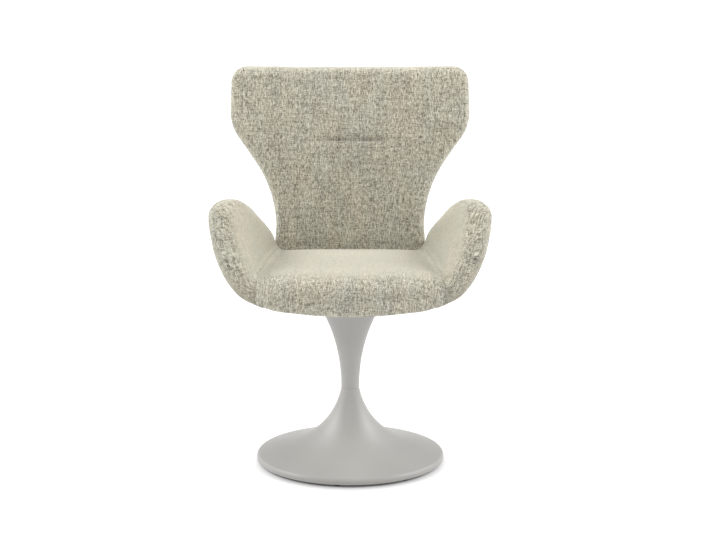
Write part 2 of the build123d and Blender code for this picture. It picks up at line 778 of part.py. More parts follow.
with BuildPart() as arm_frame_left:
    add(rod_form(0))
    with BuildSketch(Plane.XY.offset(board_top)):
        with Locations((foot_plate_x, foot_plate_middle)):
            RectangleRounded(foot_plate_width, foot_plate_rear - foot_plate_front, foot_plate_corner)
    extrude(amount=foot_plate_thickness)
    with BuildSketch(Plane.XY.offset(board_top)):
        with Locations(arm_screw_places):
            Circle(arm_screw_radius + fit_gap)
    extrude(amount=foot_plate_thickness, mode=Mode.SUBTRACT)
save(arm_frame_left.part, "arm_frame_left")

with BuildPart() as arm_frame_right:
    add(mirror(arm_frame_left.part, about=Plane.YZ, mode=Mode.PRIVATE))
save(arm_frame_right.part, "arm_frame_right")

arm_screw = headed_screw(
    arm_screw_radius,
    foot_plate_thickness + board_thickness - 2,
    arm_screw_head_radius,
    arm_screw_head_height,
)
with BuildPart() as arm_screws:
    with Locations([Location((x, y, foot_plate_top)) for x, y in arm_screw_places]):
        add(arm_screw)
save(arm_screws.part, "arm_screws")

with BuildPart() as arm_pad_left:
    add(arm_form(0))
    add(back_envelope(seat_gap), mode=Mode.SUBTRACT)
    add(rod_form(seat_gap), mode=Mode.SUBTRACT)
save(arm_pad_left.part, "arm_pad_left")

with BuildPart() as arm_pad_right:
    add(mirror(arm_pad_left.part, about=Plane.YZ, mode=Mode.PRIVATE))
save(arm_pad_right.part, "arm_pad_right")


# ================================================================ seat upholstery
# Under pad: the trough-shaped underside, with a window for the seat plate.
with BuildPart() as seat_underpad:
    with BuildSketch(Plane.XZ.offset(-underpad_front)):
        with BuildLine():
            edge = underside(underpad_half_width)
            lower = ThreePointArc(
                (-underpad_half_width, edge), (0, underside_height), (underpad_half_width, edge)
            )
            Polyline(
                lower @ 1, (underpad_half_width, board_bottom), (-underpad_half_width, board_bottom), lower @ 0
            )
        make_face()
    extrude(amount=underpad_front - underpad_rear)
    with BuildSketch(Plane.XY.offset(board_bottom)):
        window = plate_side + 2 * underpad_window_play
        RectangleRounded(window, window, seat_plate_corner + underpad_window_play)
    extrude(amount=underside_height - board_bottom - 1, mode=Mode.SUBTRACT)
save(seat_underpad.part, "seat_underpad")


def cushion_section(x):
    """Side-view section of the cushion at a distance from the middle: crown, front roll and apron."""
    share = abs(x) / cushion_half_width
    edge = share**12
    front = cushion_front + cushion_front_wrap * share**2 + side_round_back * edge
    crown = crown_height - crown_fall_side * share**4 - side_round_drop * edge
    rear_top = crown - crown_fall_rear
    crown_at = crown_y + cushion_front_wrap * share**2 * 0.5
    roll_end = crown - roll_height + roll_side_loss * share**4 + roll_edge_loss * edge
    bottom = underside(x) + apron_corner / 3 * edge
    corner = apron_corner * (1 - edge / 2)
    tuck = apron_tuck * (1 - edge / 2)
    roll_depth = crown_at - front
    half = sqrt(0.5)
    with BuildSketch(Plane.YZ.offset(x)) as section:
        with BuildLine():
            Line((cushion_rear, bottom), (cushion_rear, rear_top))
            ThreePointArc(
                (cushion_rear, rear_top),
                ((cushion_rear + crown_at) / 2, (rear_top + crown) / 2 + 7),
                (crown_at, crown),
            )
            ThreePointArc(
                (crown_at, crown),
                (crown_at - roll_depth * half, roll_end + (crown - roll_end) * half),
                (front, roll_end),
            )
            Line((front, roll_end), (front + tuck, bottom + corner))
            ThreePointArc(
                (front + tuck, bottom + corner),
                (front + tuck + corner * (1 - half), bottom + corner * (1 - half)),
                (front + tuck + corner, bottom),
            )
            Line((front + tuck + corner, bottom), (cushion_rear, bottom))
        make_face()
    return section.sketch


# Cushion: lofted across the seat, then cut to the back, the arms, the board and the frame on it.
cushion_stations = [-1, -0.96, -0.88, -0.7, -0.4, 0, 0.4, 0.7, 0.88, 0.96, 1]
under_width = 2 * (underpad_half_width + seat_gap)
with BuildPart() as seat_cushion:
    loft([cushion_section(share * cushion_half_width) for share in cushion_stations])
    add(back_layer(front_depth + seat_gap, 3 * layer_reach), mode=Mode.SUBTRACT)
    add(arm_form(seat_gap), mode=Mode.SUBTRACT)
    add(mirror(arm_form(seat_gap), about=Plane.YZ, mode=Mode.PRIVATE), mode=Mode.SUBTRACT)
    with BuildSketch(Plane.XY.offset(board_bottom + seat_gap)):
        with Locations((0, (underpad_front - seat_gap + cushion_rear) / 2)):
            Rectangle(under_width, cushion_rear - underpad_front + seat_gap)
    extrude(amount=-3 * board_thickness, mode=Mode.SUBTRACT)
    with BuildSketch(Plane.XY.offset(board_bottom)):
        with Locations((0, board_middle)):
            RectangleRounded(
                2 * (board_half_width + seat_gap), board_length + 2 * seat_gap, board_corner + seat_gap
            )
    extrude(amount=board_thickness + seat_gap, mode=Mode.SUBTRACT)
    pocket_height = foot_plate_thickness + arm_screw_head_height + seat_gap
    for side in (1, -1):
        add(bracket(side, seat_gap), mode=Mode.SUBTRACT)
        with BuildSketch(Plane.XY.offset(board_top)):
            with Locations((side * foot_plate_x, foot_plate_middle)):
                RectangleRounded(
                    foot_plate_width + 2 * seat_gap,
                    foot_plate_rear - foot_plate_front + 2 * seat_gap,
                    foot_plate_corner,
                )
        extrude(amount=pocket_height, mode=Mode.SUBTRACT)
    add(rod_form(seat_gap), mode=Mode.SUBTRACT)
    add(mirror(rod_form(seat_gap), about=Plane.YZ, mode=Mode.PRIVATE), mode=Mode.SUBTRACT)
    with BuildSketch(Plane.XY.offset(board_top)):
        with GridLocations(seat_bolt_spacing, seat_bolt_spacing, 2, 2):
            Circle(tee_flange_radius + seat_gap)
    extrude(amount=tee_flange_thickness + seat_gap, mode=Mode.SUBTRACT)
    with BuildSketch(Plane.XY.offset(board_top)):
        with Locations(bracket_screw_places):
            Circle(bracket_screw_head_radius + seat_gap)
    extrude(amount=bracket_thickness + bracket_screw_head_height + seat_gap, mode=Mode.SUBTRACT)
save(seat_cushion.part, "seat_cushion")


# ================================================================ back upholstery
# Space of the board inside the front pad.
with BuildPart() as board_space:
    space_round = board_corner_round + seat_gap
    add(back_block(back_board_inset - seat_gap, space_round, space_round))
    add(back_layer(board_half_thickness + seat_gap, layer_reach), mode=Mode.INTERSECT)
back_board_space = board_space.part

# The crease: a groove on a tighter arc than the back, so that it fades out at both ends.
crease_sag = crease_half_width**2 / (2 * back_plan_radius)
crease_rise = crease_sag + crease_depth
crease_arc_radius = (crease_half_width**2 + crease_rise**2) / (2 * crease_rise)
crease_bottom_y = -front_depth + crease_depth
with BuildPart() as crease:
    with BuildLine(back_section.offset(along_back(back_height - crease_drop))) as crease_path:
        CenterArc(
            (0, crease_bottom_y - crease_tool_radius - crease_arc_radius),
            crease_arc_radius,
            90 - crease_sweep / 2,
            crease_sweep,
        )
    with BuildSketch(Plane(origin=crease_path.line @ 0, z_dir=crease_path.line % 0)):
        Circle(crease_tool_radius)
    sweep()

# Front pad: wraps round the board's edge, with a pulled crease under the headrest.
with BuildPart() as back_front_pad:
    add(back_envelope(0))
    add(back_layer(3 * layer_reach, board_half_thickness), mode=Mode.INTERSECT)
    add(back_board_space, mode=Mode.SUBTRACT)
    for side in (1, -1):
        add(bracket(side, seat_gap), mode=Mode.SUBTRACT)
    for place in leg_places:
        with BuildSketch(place):
            Circle(bracket_screw_head_radius + seat_gap)
        extrude(amount=bracket_screw_head_height + seat_gap, mode=Mode.SUBTRACT)
        with BuildSketch(place):
            Circle(bracket_screw_radius + seat_gap)
        extrude(amount=-2 * bracket_leg_ahead, mode=Mode.SUBTRACT)
    add(crease.part, mode=Mode.SUBTRACT)
save(back_front_pad.part, "back_front_pad")

# Rear pad: the thin upholstered panel behind the board.
with BuildPart() as back_rear_pad:
    add(back_envelope(0))
    add(back_layer(-board_half_thickness - seat_gap, 2 * layer_reach), mode=Mode.INTERSECT)
save(back_rear_pad.part, "back_rear_pad")
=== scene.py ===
"""Looks of the pedestal swivel armchair, laid out as an add-on and run as a script.

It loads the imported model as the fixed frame, makes the upholstery, the seams and the finishes of each
piece round it, and sets up the studio. Metres, +Z up, the sitter faces -Y and has the left hand at +X.
"""

from math import cos, pi, radians, sin, tan

import bmesh
import bpy
import numpy as np
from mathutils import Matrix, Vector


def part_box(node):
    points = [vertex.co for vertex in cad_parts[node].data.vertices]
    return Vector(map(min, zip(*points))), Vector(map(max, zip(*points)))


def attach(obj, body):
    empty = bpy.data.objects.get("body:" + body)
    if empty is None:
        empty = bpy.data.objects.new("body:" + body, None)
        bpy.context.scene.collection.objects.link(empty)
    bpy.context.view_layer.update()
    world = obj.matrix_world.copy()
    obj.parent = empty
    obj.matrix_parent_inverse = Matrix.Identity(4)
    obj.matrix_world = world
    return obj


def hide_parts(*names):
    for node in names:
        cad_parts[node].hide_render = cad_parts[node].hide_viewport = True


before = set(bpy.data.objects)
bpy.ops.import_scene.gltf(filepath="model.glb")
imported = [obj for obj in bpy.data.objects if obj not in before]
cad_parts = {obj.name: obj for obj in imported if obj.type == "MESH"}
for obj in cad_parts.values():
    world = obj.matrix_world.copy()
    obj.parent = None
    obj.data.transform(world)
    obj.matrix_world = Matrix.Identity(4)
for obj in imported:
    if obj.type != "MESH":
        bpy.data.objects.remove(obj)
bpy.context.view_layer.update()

import openvdb
from bpy.props import FloatProperty, FloatVectorProperty, PointerProperty
from mathutils import Vector

bl_info = {
    "name": "Pedestal swivel armchair",
    "version": (1, 0, 0),
    "blender": (4, 5, 0),
    "location": "View3D > Sidebar > Armchair",
    "description": "Upholstery, seams and finishes of a winged swivel armchair on a trumpet pedestal",
    "category": "Object",
}

TINY = 1e-9  # keeps a division from failing
SEAM_GAP = 0.0003  # between covers that lie against each other
WAVE_TURNS = 0.314159  # scale of a wave texture with one band to the metre
BOARD_ROOM = 0.009  # over and under the seat board, for what is screwed on it
WINDOW_ROOM = 0.003  # between the seat plate and the window that the under pad has for it
WINDOW_REACH = 0.05  # takes the window right through the under pad


def grown(low, high, *play):
    """A box grown by a play on each side: sideways, back and forth, and upwards."""
    return tuple(a - b for a, b in zip(low, play)), tuple(a + b for a, b in zip(high, play))


# The room that the covers leave for the frame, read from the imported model.
BOARD_BOX = grown(*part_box("seat_board"), 0, 0, BOARD_ROOM)
UNDER_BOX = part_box("seat_underpad")
WINDOW_BOX = grown(*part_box("seat_plate"), WINDOW_ROOM, WINDOW_ROOM, WINDOW_REACH)


# ---------------------------------------------------------------- settings
def length(name, description, default):
    """A size in metres."""
    return FloatProperty(
        name=name, description=description, default=default, min=0.0, unit="LENGTH", subtype="DISTANCE"
    )


def place(name, description, default):
    """A coordinate in metres."""
    return FloatProperty(name=name, description=description, default=default, unit="LENGTH")


def share(name, description, default):
    """A number from 0 to 1."""
    return FloatProperty(name=name, description=description, default=default, min=0.0, max=1.0)


def colour(name, description, default):
    """A linear colour."""
    return FloatVectorProperty(
        name=name, description=description, default=default, size=3, min=0.0, max=1.0, subtype="COLOR"
    )


class SeatSettings(bpy.types.PropertyGroup):
    half_width: length("Half width", "Middle of the seat to the side of its cushion", 0.224)
    front: place("Front", "Front of the roll at the middle", -0.255)
    front_wrap: length("Front wrap", "How far the front comes back at the sides", 0.060)
    crown: length("Crown", "Height of the top at the middle", 0.508)
    crown_y: place("Crown place", "Where the top is highest", -0.165)
    side_fall: length("Side fall", "Drop of the top towards the sides", 0.024)
    rear_level: share("Rear level", "How much of the side fall is lost at the back", 0.7)
    rear: place("Rear", "Back end of the cushion", 0.235)
    rear_fall: length("Rear fall", "Drop of the top towards the back", 0.022)
    top_bow: length("Top bow", "Swell of the top between the crown and the back", 0.007)
    roll_height: length("Roll height", "Height of the front roll", 0.056)
    roll_side_loss: length("Roll side loss", "Height that the roll loses towards the sides", 0.014)
    lower_round: length("Lower rounding", "Rounding of the apron's lower edge", 0.015)
    side_round: length("Side rounding", "Rounding of the sides", 0.020)
    tuck: length("Apron tuck", "How far the apron leans back", 0.009)
    underside: length("Underside", "Lowest line of the upholstery", 0.4085)
    corner_lift: length("Corner lift", "How much the lower corners are drawn up", 0.003)
    underside_radius: length("Underside radius", "Radius of the trough under the seat", 1.750)


class BackSettings(bpy.types.PropertyGroup):
    recline: FloatProperty(
        name="Recline", description="Lean of the back", default=radians(9.5), subtype="ANGLE"
    )
    foot_y: place("Foot", "Middle of the back's board at its foot", 0.2123)
    foot_height: length("Foot height", "Height where the back's outline starts", 0.410)
    height: length("Height", "Height of the back's outline", 0.941)
    plan_radius: length("Wrap radius", "Radius that the back wraps forward on", 0.950)
    front_depth: length("Front depth", "Board's middle to the front face", 0.037)
    rear_depth: length("Rear depth", "Board's middle to the rear face", 0.021)
    board_half: length("Half board", "Half the board's thickness", 0.006)
    board_inset: length("Board inset", "Outline to the board's edge", 0.038)
    edge_round: length("Edge rounding", "Rounding of the padded edge", 0.024)
    waist: length("Half waist", "Half the width at the waist", 0.189)
    waist_share: share("Waist share", "How far up the back the waist opens into the wings", 0.239)
    waist_radius: length("Waist radius", "Hollow curve under the wings", 0.300)
    wing_slope: FloatProperty(
        name="Wing slope", description="Slope under the wings", default=radians(33.7), subtype="ANGLE"
    )
    wing: length("Half wings", "Half the width over the wings", 0.300)
    wing_radius: length("Wing radius", "Rounding of the wings' lower corner", 0.110)
    top_taper: length("Top taper", "How much narrower each side is at the top", 0.0025)
    top_round: length("Top corner", "Rounding of the top corners", 0.042)
    foot_round: length("Foot corner", "Rounding of the foot's corners", 0.036)
    crown: length("Crown", "Extra thickness in the middle of the front", 0.004)
    head_swell: length("Head swell", "Swell above the crease", 0.006)
    head_lip: length("Head lip", "How soon the swell above the crease rises", 0.013)
    head_reach: length("Head reach", "How far up the swell above the crease goes", 0.075)
    lap_swell: length("Lap swell", "Swell below the crease", 0.0045)
    lap_lip: length("Lap lip", "How soon the swell below the crease rises", 0.004)
    lap_reach: length("Lap reach", "How far down the swell below the crease goes", 0.050)
    crease_height: length("Crease height", "Height of the pulled crease", 0.7565)
    crease_middle: place("Crease middle", "How far the crease sits off the middle", 0.008)
    crease_half_width: length("Half crease", "Middle of the crease to its end", 0.098)
    crease_width: length("Crease width", "Half the width of the crease", 0.0040)
    crease_depth: length("Crease depth", "Depth of the crease", 0.0065)


class ArmSettings(bpy.types.PropertyGroup):
    padding: length("Padding", "Half the thickness of the arm, for laying out the cloth", 0.0355)
    lip: length("Lip", "Rounding of the arm's foot and tip", 0.003)


class FabricSettings(bpy.types.PropertyGroup):
    mesh_step: length("Mesh step", "Distance between the points of the padded forms", 0.0062)
    fillet: length("Fillet", "Reach of the filled hollow between the seat and the arms", 0.028)
    seam_round: length("Seam rounding", "Rounding where the seat and the arms are parted", 0.0005)
    tuck_round: length("Tuck rounding", "Rounding where a cover is tucked in at the back", 0.004)
    hold: length("Hold", "How far from a seam the cover is held down", 0.006)
    swell: length("Swell", "Most that the filling may push the cover out", 0.003)
    warp_pitch: length("Warp pitch", "Distance between two upright yarns", 0.0016)
    weft_pitch: length("Weft pitch", "Distance between two level yarns", 0.0017)
    light_yarn: colour("Light yarn", "Colour of the cream yarns", (0.66, 0.635, 0.535))
    mid_yarn: colour("Middle yarn", "Colour of the stone yarns", (0.375, 0.357, 0.287))
    dark_yarn: colour("Dark yarn", "Colour of the umber yarns", (0.10, 0.093, 0.070))
    warm_tint: colour("Warm tint", "Where the melange is warmer", (1.0, 0.97, 0.93))
    cool_tint: colour("Cool tint", "Where the melange is cooler", (0.96, 0.97, 0.965))


class StitchSettings(bpy.types.PropertyGroup):
    pitch: length("Pitch", "Distance between two stitches", 0.009)
    length: length("Length", "Length of a stitch", 0.0075)
    thickness: length("Thickness", "Thickness of the thread", 0.0011)
    sink: length("Sink", "How deep the stitches lie in the seam of the back", 0.0022)
    slant: FloatProperty(
        name="Slant", description="Angle of a stitch to its seam", default=radians(35), subtype="ANGLE"
    )
    unevenness: share("Unevenness", "How much the stitches differ in size", 0.12)


class PedestalSettings(bpy.types.PropertyGroup):
    paint: colour("Paint", "Colour of the satin powder coat", (0.36, 0.352, 0.335))


class StageSettings(bpy.types.PropertyGroup):
    camera_distance: length("Camera distance", "Camera in front of the swivel's axis", 4.3125)
    camera_height: length("Camera height", "Camera above the floor", 1.3493)
    pitch: FloatProperty(
        name="Pitch", description="How far the camera looks down", default=radians(11.46), subtype="ANGLE"
    )
    yaw: FloatProperty(
        name="Yaw",
        description="How far the camera turns to the right",
        default=radians(0.2526),
        subtype="ANGLE",
    )
    lens: FloatProperty(name="Lens", description="Focal length in millimetres", default=91.22)
    wall_glow: share("Wall glow", "How bright the studio's white walls are", 1.0)
    ceiling_glow: share("Ceiling glow", "How bright the studio's ceiling is", 0.22)
    floor_glow: share("Floor glow", "How much the white floor glows round the chair", 0.68)


class ArmchairSettings(bpy.types.PropertyGroup):
    seat: PointerProperty(type=SeatSettings, name="Seat", description="Seat cushion")
    back: PointerProperty(type=BackSettings, name="Back", description="Back pads")
    arms: PointerProperty(type=ArmSettings, name="Arms", description="Arm pads")
    fabric: PointerProperty(type=FabricSettings, name="Fabric", description="Cover fabric")
    stitches: PointerProperty(type=StitchSettings, name="Stitches", description="Hand stitches")
    pedestal: PointerProperty(type=PedestalSettings, name="Pedestal", description="Pedestal paint")
    stage: PointerProperty(type=StageSettings, name="Stage", description="Camera and floor")


def settings():
    """The chair's sizes and colours."""
    return bpy.context.scene.armchair


# ---------------------------------------------------------------- forms
# Where each cover is cut from the cloth, in metres, so that no two show the same grain.
SEAT_CLOTH, UNDER_CLOTH, ARM_CLOTH, BACK_CLOTH = 3.0, 5.0, 7.0, 11.0
OUTER_CLOTH = 2.0  # from there to where the outer or rear side is cut


# A form is a function of points that is negative inside the piece and zero on its surface.
def ramp(low, high, value):
    """0 below low, 1 above high, smooth between."""
    t = np.clip((value - low) / (high - low), 0, 1)
    return t * t * (3 - 2 * t)


def inside_both(first, second, rounding):
    """Inside both forms, with the edge between them rounded."""
    return np.minimum(np.maximum(first, second), -rounding) + np.hypot(
        np.maximum(first + rounding, 0), np.maximum(second + rounding, 0)
    )


def melted(first, second, reach):
    """Inside either form, with the hollow between them filled."""
    part = np.clip(0.5 + 0.5 * (second - first) / reach, 0, 1)
    return second * (1 - part) + first * part - reach * part * (1 - part)


def along_table(heights, values, height):
    """Smooth curve through a table of values, steady beyond its ends."""
    heights = np.asarray(heights)
    values = np.asarray(values)
    slopes = np.gradient(values, heights)
    height = np.clip(height, heights[0], heights[-1])
    k = np.clip(np.searchsorted(heights, height) - 1, 0, len(heights) - 2)
    gap = heights[k + 1] - heights[k]
    t = (height - heights[k]) / gap
    return (
        values[k] * (1 + 2 * t) * (1 - t) ** 2
        + slopes[k] * gap * t * (1 - t) ** 2
        + values[k + 1] * t * t * (3 - 2 * t)
        + slopes[k + 1] * gap * t * t * (t - 1)
    )


def box_form(points, low, high):
    """Inside a box."""
    low, high = np.asarray(low), np.asarray(high)
    return (np.abs(points - (low + high) / 2) - (high - low) / 2).max(1)


def slopes_of(form, points, reach=0.0004):
    """Gradient of a form at points."""
    return np.stack(
        [form(points + step) - form(points - step) for step in np.eye(3) * reach], -1
    ) / (2 * reach)


def settle(form, points, turns=4, longest=0.003, least_slope=0.1):
    """Points moved onto the surface of a form, in turns that each have a longest move."""
    for _ in range(turns):
        slope = slopes_of(form, points)
        pull = form(points) / np.maximum((slope**2).sum(-1), least_slope)
        points = points - slope * np.clip(pull, -longest, longest)[:, None]
    return points


def held_everywhere(points):
    """Room to the neighbours of a cover that is held down all over."""
    return np.zeros(len(points))


def unit(vectors):
    """Vectors of length 1."""
    return vectors / np.maximum(np.linalg.norm(vectors, axis=1, keepdims=True), TINY)


def bent_over(normals, face, side, up):
    """Angle that the cloth has bent from the face, and the way it bends, along side and up."""
    level = np.clip((normals * face).sum(-1), -1, 1)
    outward = unit(normals - level[:, None] * face)
    return np.arccos(level), (outward * side).sum(-1), (outward * up).sum(-1)


def arc(centre, radius, start, end, count):
    """Points on an arc, from one angle to another."""
    angles = np.linspace(start, end, count)
    return np.stack([centre[0] + radius * np.cos(angles), centre[1] + radius * np.sin(angles)], -1)


class OutlineField:
    """Distance to a closed outline, sampled once on a plane grid; negative inside."""

    def __init__(self, outline, margin=0.06, step=0.0015):
        self.low = outline.min(0) - margin
        self.step = step
        count = np.ceil((outline.max(0) + margin - self.low) / step).astype(int) + 1
        xs = self.low[0] + step * np.arange(count[0])
        ys = self.low[1] + step * np.arange(count[1])
        x, y = np.meshgrid(xs, ys, indexing="ij")
        nearest = np.full(x.shape, np.inf)
        crossings = np.zeros(x.shape, int)
        for (ax, ay), (bx, by) in zip(outline, np.roll(outline, -1, 0)):
            run, rise = bx - ax, by - ay
            if run == 0 and rise == 0:
                continue
            t = np.clip(((x - ax) * run + (y - ay) * rise) / (run * run + rise * rise), 0, 1)
            nearest = np.minimum(nearest, np.hypot(x - ax - t * run, y - ay - t * rise))
            if rise != 0:
                crossings += ((ay > y) != (by > y)) & (x < run * (y - ay) / rise + ax)
        self.values = np.where(crossings % 2 == 1, -nearest, nearest)

    def __call__(self, x, y):
        """Distance at a place, evened out between the samples."""
        last = np.array(self.values.shape) - 1.001  # just inside the last cell
        gx = np.clip((x - self.low[0]) / self.step, 0, last[0])
        gy = np.clip((y - self.low[1]) / self.step, 0, last[1])
        i, j = gx.astype(int), gy.astype(int)
        fx, fy = gx - i, gy - j
        v = self.values
        return (v[i, j] * (1 - fx) + v[i + 1, j] * fx) * (1 - fy) + (
            v[i, j + 1] * (1 - fx) + v[i + 1, j + 1] * fx
        ) * fy


# ---------------------------------------------------------------- back, its form
BOARD_GAP = 0.0004  # between the back's board and its covers
LIP_ROUND = 0.004  # rounding of the two pads' lips along the board
REAR_FLAT = 0.001  # what the rounding leaves of the rear pad's edge
CREASE_FADE = (0.60, 1.10)  # where the crease runs out, in shares of half its width
SIDE_TURN = radians(60)  # past this turn the cover lies on the pad's side


def back_outline(s):
    """Right half of the back's outline and its mirror, as points across and up the reclined back."""
    lean = cos(s.recline)
    top = (s.height - s.foot_height) / lean
    waist_start = s.waist_share * top
    hollow = arc((s.waist + s.waist_radius, waist_start), s.waist_radius, pi, pi - s.wing_slope, count=14)
    wing_start = s.wing - s.wing_radius * (1 - cos(s.wing_slope))
    rise = (wing_start - hollow[-1, 0]) / tan(s.wing_slope)
    wing_foot = hollow[-1, 1] + rise
    centre = (wing_start - s.wing_radius * cos(s.wing_slope), wing_foot + s.wing_radius * sin(s.wing_slope))
    wing = arc(centre, s.wing_radius, -s.wing_slope, 0, count=12)
    foot = arc((s.waist - s.foot_round, s.foot_round), s.foot_round, -pi / 2, 0, count=10)
    corner_x = s.wing - s.top_taper - s.top_round
    corner = arc((corner_x, top - s.top_round), s.top_round, 0, pi / 2, count=12)
    half = np.concatenate([[(0, 0)], foot, [(s.waist, waist_start)], hollow[1:], wing, corner, [(0, top)]])
    return np.concatenate([half, half[-2:0:-1] * (-1, 1)])


class BackForm:
    """The padded back: an outline, bent on a radius, with rounded edges."""

    def __init__(self, s):
        self.s = s
        self.outline_points = back_outline(s)
        self.outline = OutlineField(self.outline_points)
        self.foot = np.array((0, s.foot_y, s.foot_height))
        self.up = np.array((0, sin(s.recline), cos(s.recline)))
        self.ahead = np.array((0, -cos(s.recline), sin(s.recline)))

    def across_up_ahead(self, points):
        """Place on the outline and distance ahead of the board's middle."""
        offset = points - self.foot
        x = offset[:, 0]
        up = offset @ self.up
        rest = self.s.plan_radius - offset @ self.ahead
        return x, up, self.s.plan_radius - np.hypot(x, rest)

    def place(self, x, up, ahead):
        """Point at a place on the outline and a distance ahead of the board's middle."""
        s = self.s
        bend = s.plan_radius - np.sqrt((s.plan_radius - ahead) ** 2 - x**2)
        flat = self.foot + up[:, None] * self.up + bend[:, None] * self.ahead
        return flat + x[:, None] * (1, 0, 0)

    def face_depth(self, x, up):
        """Depth of the front face: a slight crown, and a fold pulled in under the head."""
        s = self.s
        above = up - (s.crease_height - s.foot_height) / cos(s.recline)
        crown = s.crown * (1 - np.clip(np.abs(x) / s.wing, 0, 1) ** 2)
        over = np.maximum(above, 0)
        under = np.maximum(-above, 0)
        head = (1 - np.exp(-over / s.head_lip)) * np.exp(-((over / s.head_reach) ** 2))
        lap = (1 - np.exp(-under / s.lap_lip)) * np.exp(-((under / s.lap_reach) ** 2))
        swell = s.head_swell * head + s.lap_swell * lap
        groove = s.crease_depth * np.exp(-((over / s.crease_width) ** 2 + (under / s.crease_width) ** 2))
        fade = 1 - ramp(*CREASE_FADE, np.abs(x - s.crease_middle) / s.crease_half_width)
        return s.front_depth + crown + (swell - groove) * fade

    def envelope(self, points):
        """The whole back: both pads with the board between them."""
        s = self.s
        x, up, ahead = self.across_up_ahead(points)
        edge = self.outline(x, up)
        form = inside_both(edge, ahead - self.face_depth(x, up), s.edge_round)
        return inside_both(form, -ahead - s.rear_depth, s.rear_depth - REAR_FLAT)

    def board(self, points):
        """The bent board inside the back."""
        s = self.s
        x, up, ahead = self.across_up_ahead(points)
        return np.maximum(self.outline(x, up) + s.board_inset, np.abs(ahead) - s.board_half)

    def front_pad(self, points):
        """The front of the back, with its edge closed round the board."""
        ahead = self.across_up_ahead(points)[2]
        form = inside_both(self.envelope(points), -ahead - self.s.board_half, LIP_ROUND)
        return np.maximum(form, BOARD_GAP - self.board(points))

    def rear_pad(self, points):
        """The rear panel, behind the board."""
        ahead = self.across_up_ahead(points)[2]
        return inside_both(self.envelope(points), ahead + self.s.board_half + BOARD_GAP, LIP_ROUND)

    def cloth_place(self, points, normals, rearward):
        """Where a point of a cover lies on the cloth, when that is laid out flat."""
        s = self.s
        base = points - s.edge_round * normals
        _, up, ahead = self.across_up_ahead(base)
        angle = np.arctan2(base[:, 0], s.plan_radius)
        face = -np.sin(angle)[:, None] * (1, 0, 0) + np.cos(angle)[:, None] * self.ahead
        face = unit(-face if rearward else face)
        side = unit(np.cross(np.broadcast_to(self.up, face.shape), face))
        turn, way_across, way_up = bent_over(normals, face, side, self.up)
        depth = s.rear_depth if rearward else s.front_depth
        deeper = np.maximum(depth - s.edge_round - (-ahead if rearward else ahead), 0)
        reach = s.edge_round * turn + np.where(turn > SIDE_TURN, deeper, 0)
        across = s.plan_radius * angle * (-1 if rearward else 1)
        cut = np.array((BACK_CLOTH + OUTER_CLOTH * rearward, BACK_CLOTH))
        return np.stack([across + way_across * reach, up + way_up * reach], -1) + cut

    def front_cloth_place(self, points, normals):
        return self.cloth_place(points, normals, rearward=False)

    def rear_cloth_place(self, points, normals):
        return self.cloth_place(points, normals, rearward=True)


# ---------------------------------------------------------------- arms, their form
OUTER_TURN = radians(150)  # past this turn the cover lies on the arm's outer side
FACE_SLOPE = 1.04  # length up the face of an arm for each metre of height
RISE = 0.002  # small step up, to tell which way the face of an arm goes
# Level sections of the sitter's left arm, from its foot to its tip: height, front centre x and y, rear
# centre x and y, half thickness, length of the rear rounding.
ARM_SECTIONS = np.array(
    [
        (0.4245, 0.215, -0.176, 0.184, 0.156, 0.003, 0.005),
        (0.43, 0.2215, -0.178, 0.188, 0.158, 0.005, 0.007),
        (0.434, 0.2275, -0.18, 0.19, 0.16, 0.007, 0.01),
        (0.441, 0.234, -0.177, 0.195, 0.163, 0.0125, 0.018),
        (0.452, 0.2415, -0.171, 0.202, 0.166, 0.02, 0.026),
        (0.463, 0.246, -0.165, 0.208, 0.168, 0.026, 0.03),
        (0.478, 0.2525, -0.156, 0.215, 0.168, 0.032, 0.036),
        (0.506, 0.266, -0.142, 0.221, 0.158, 0.0355, 0.05),
        (0.54, 0.281, -0.127, 0.232, 0.092, 0.0355, 0.072),
        (0.575, 0.2905, -0.11, 0.248, 0.024, 0.0355, 0.07),
        (0.61, 0.2975, -0.092, 0.268, -0.032, 0.0355, 0.06),
        (0.634, 0.299, -0.079, 0.28, -0.048, 0.0335, 0.046),
        (0.648, 0.296, -0.071, 0.285, -0.053, 0.0265, 0.032),
        (0.6575, 0.293, -0.066, 0.288, -0.058, 0.015, 0.019),
        (0.661, 0.292, -0.064, 0.29, -0.061, 0.004, 0.005),
    ]
)


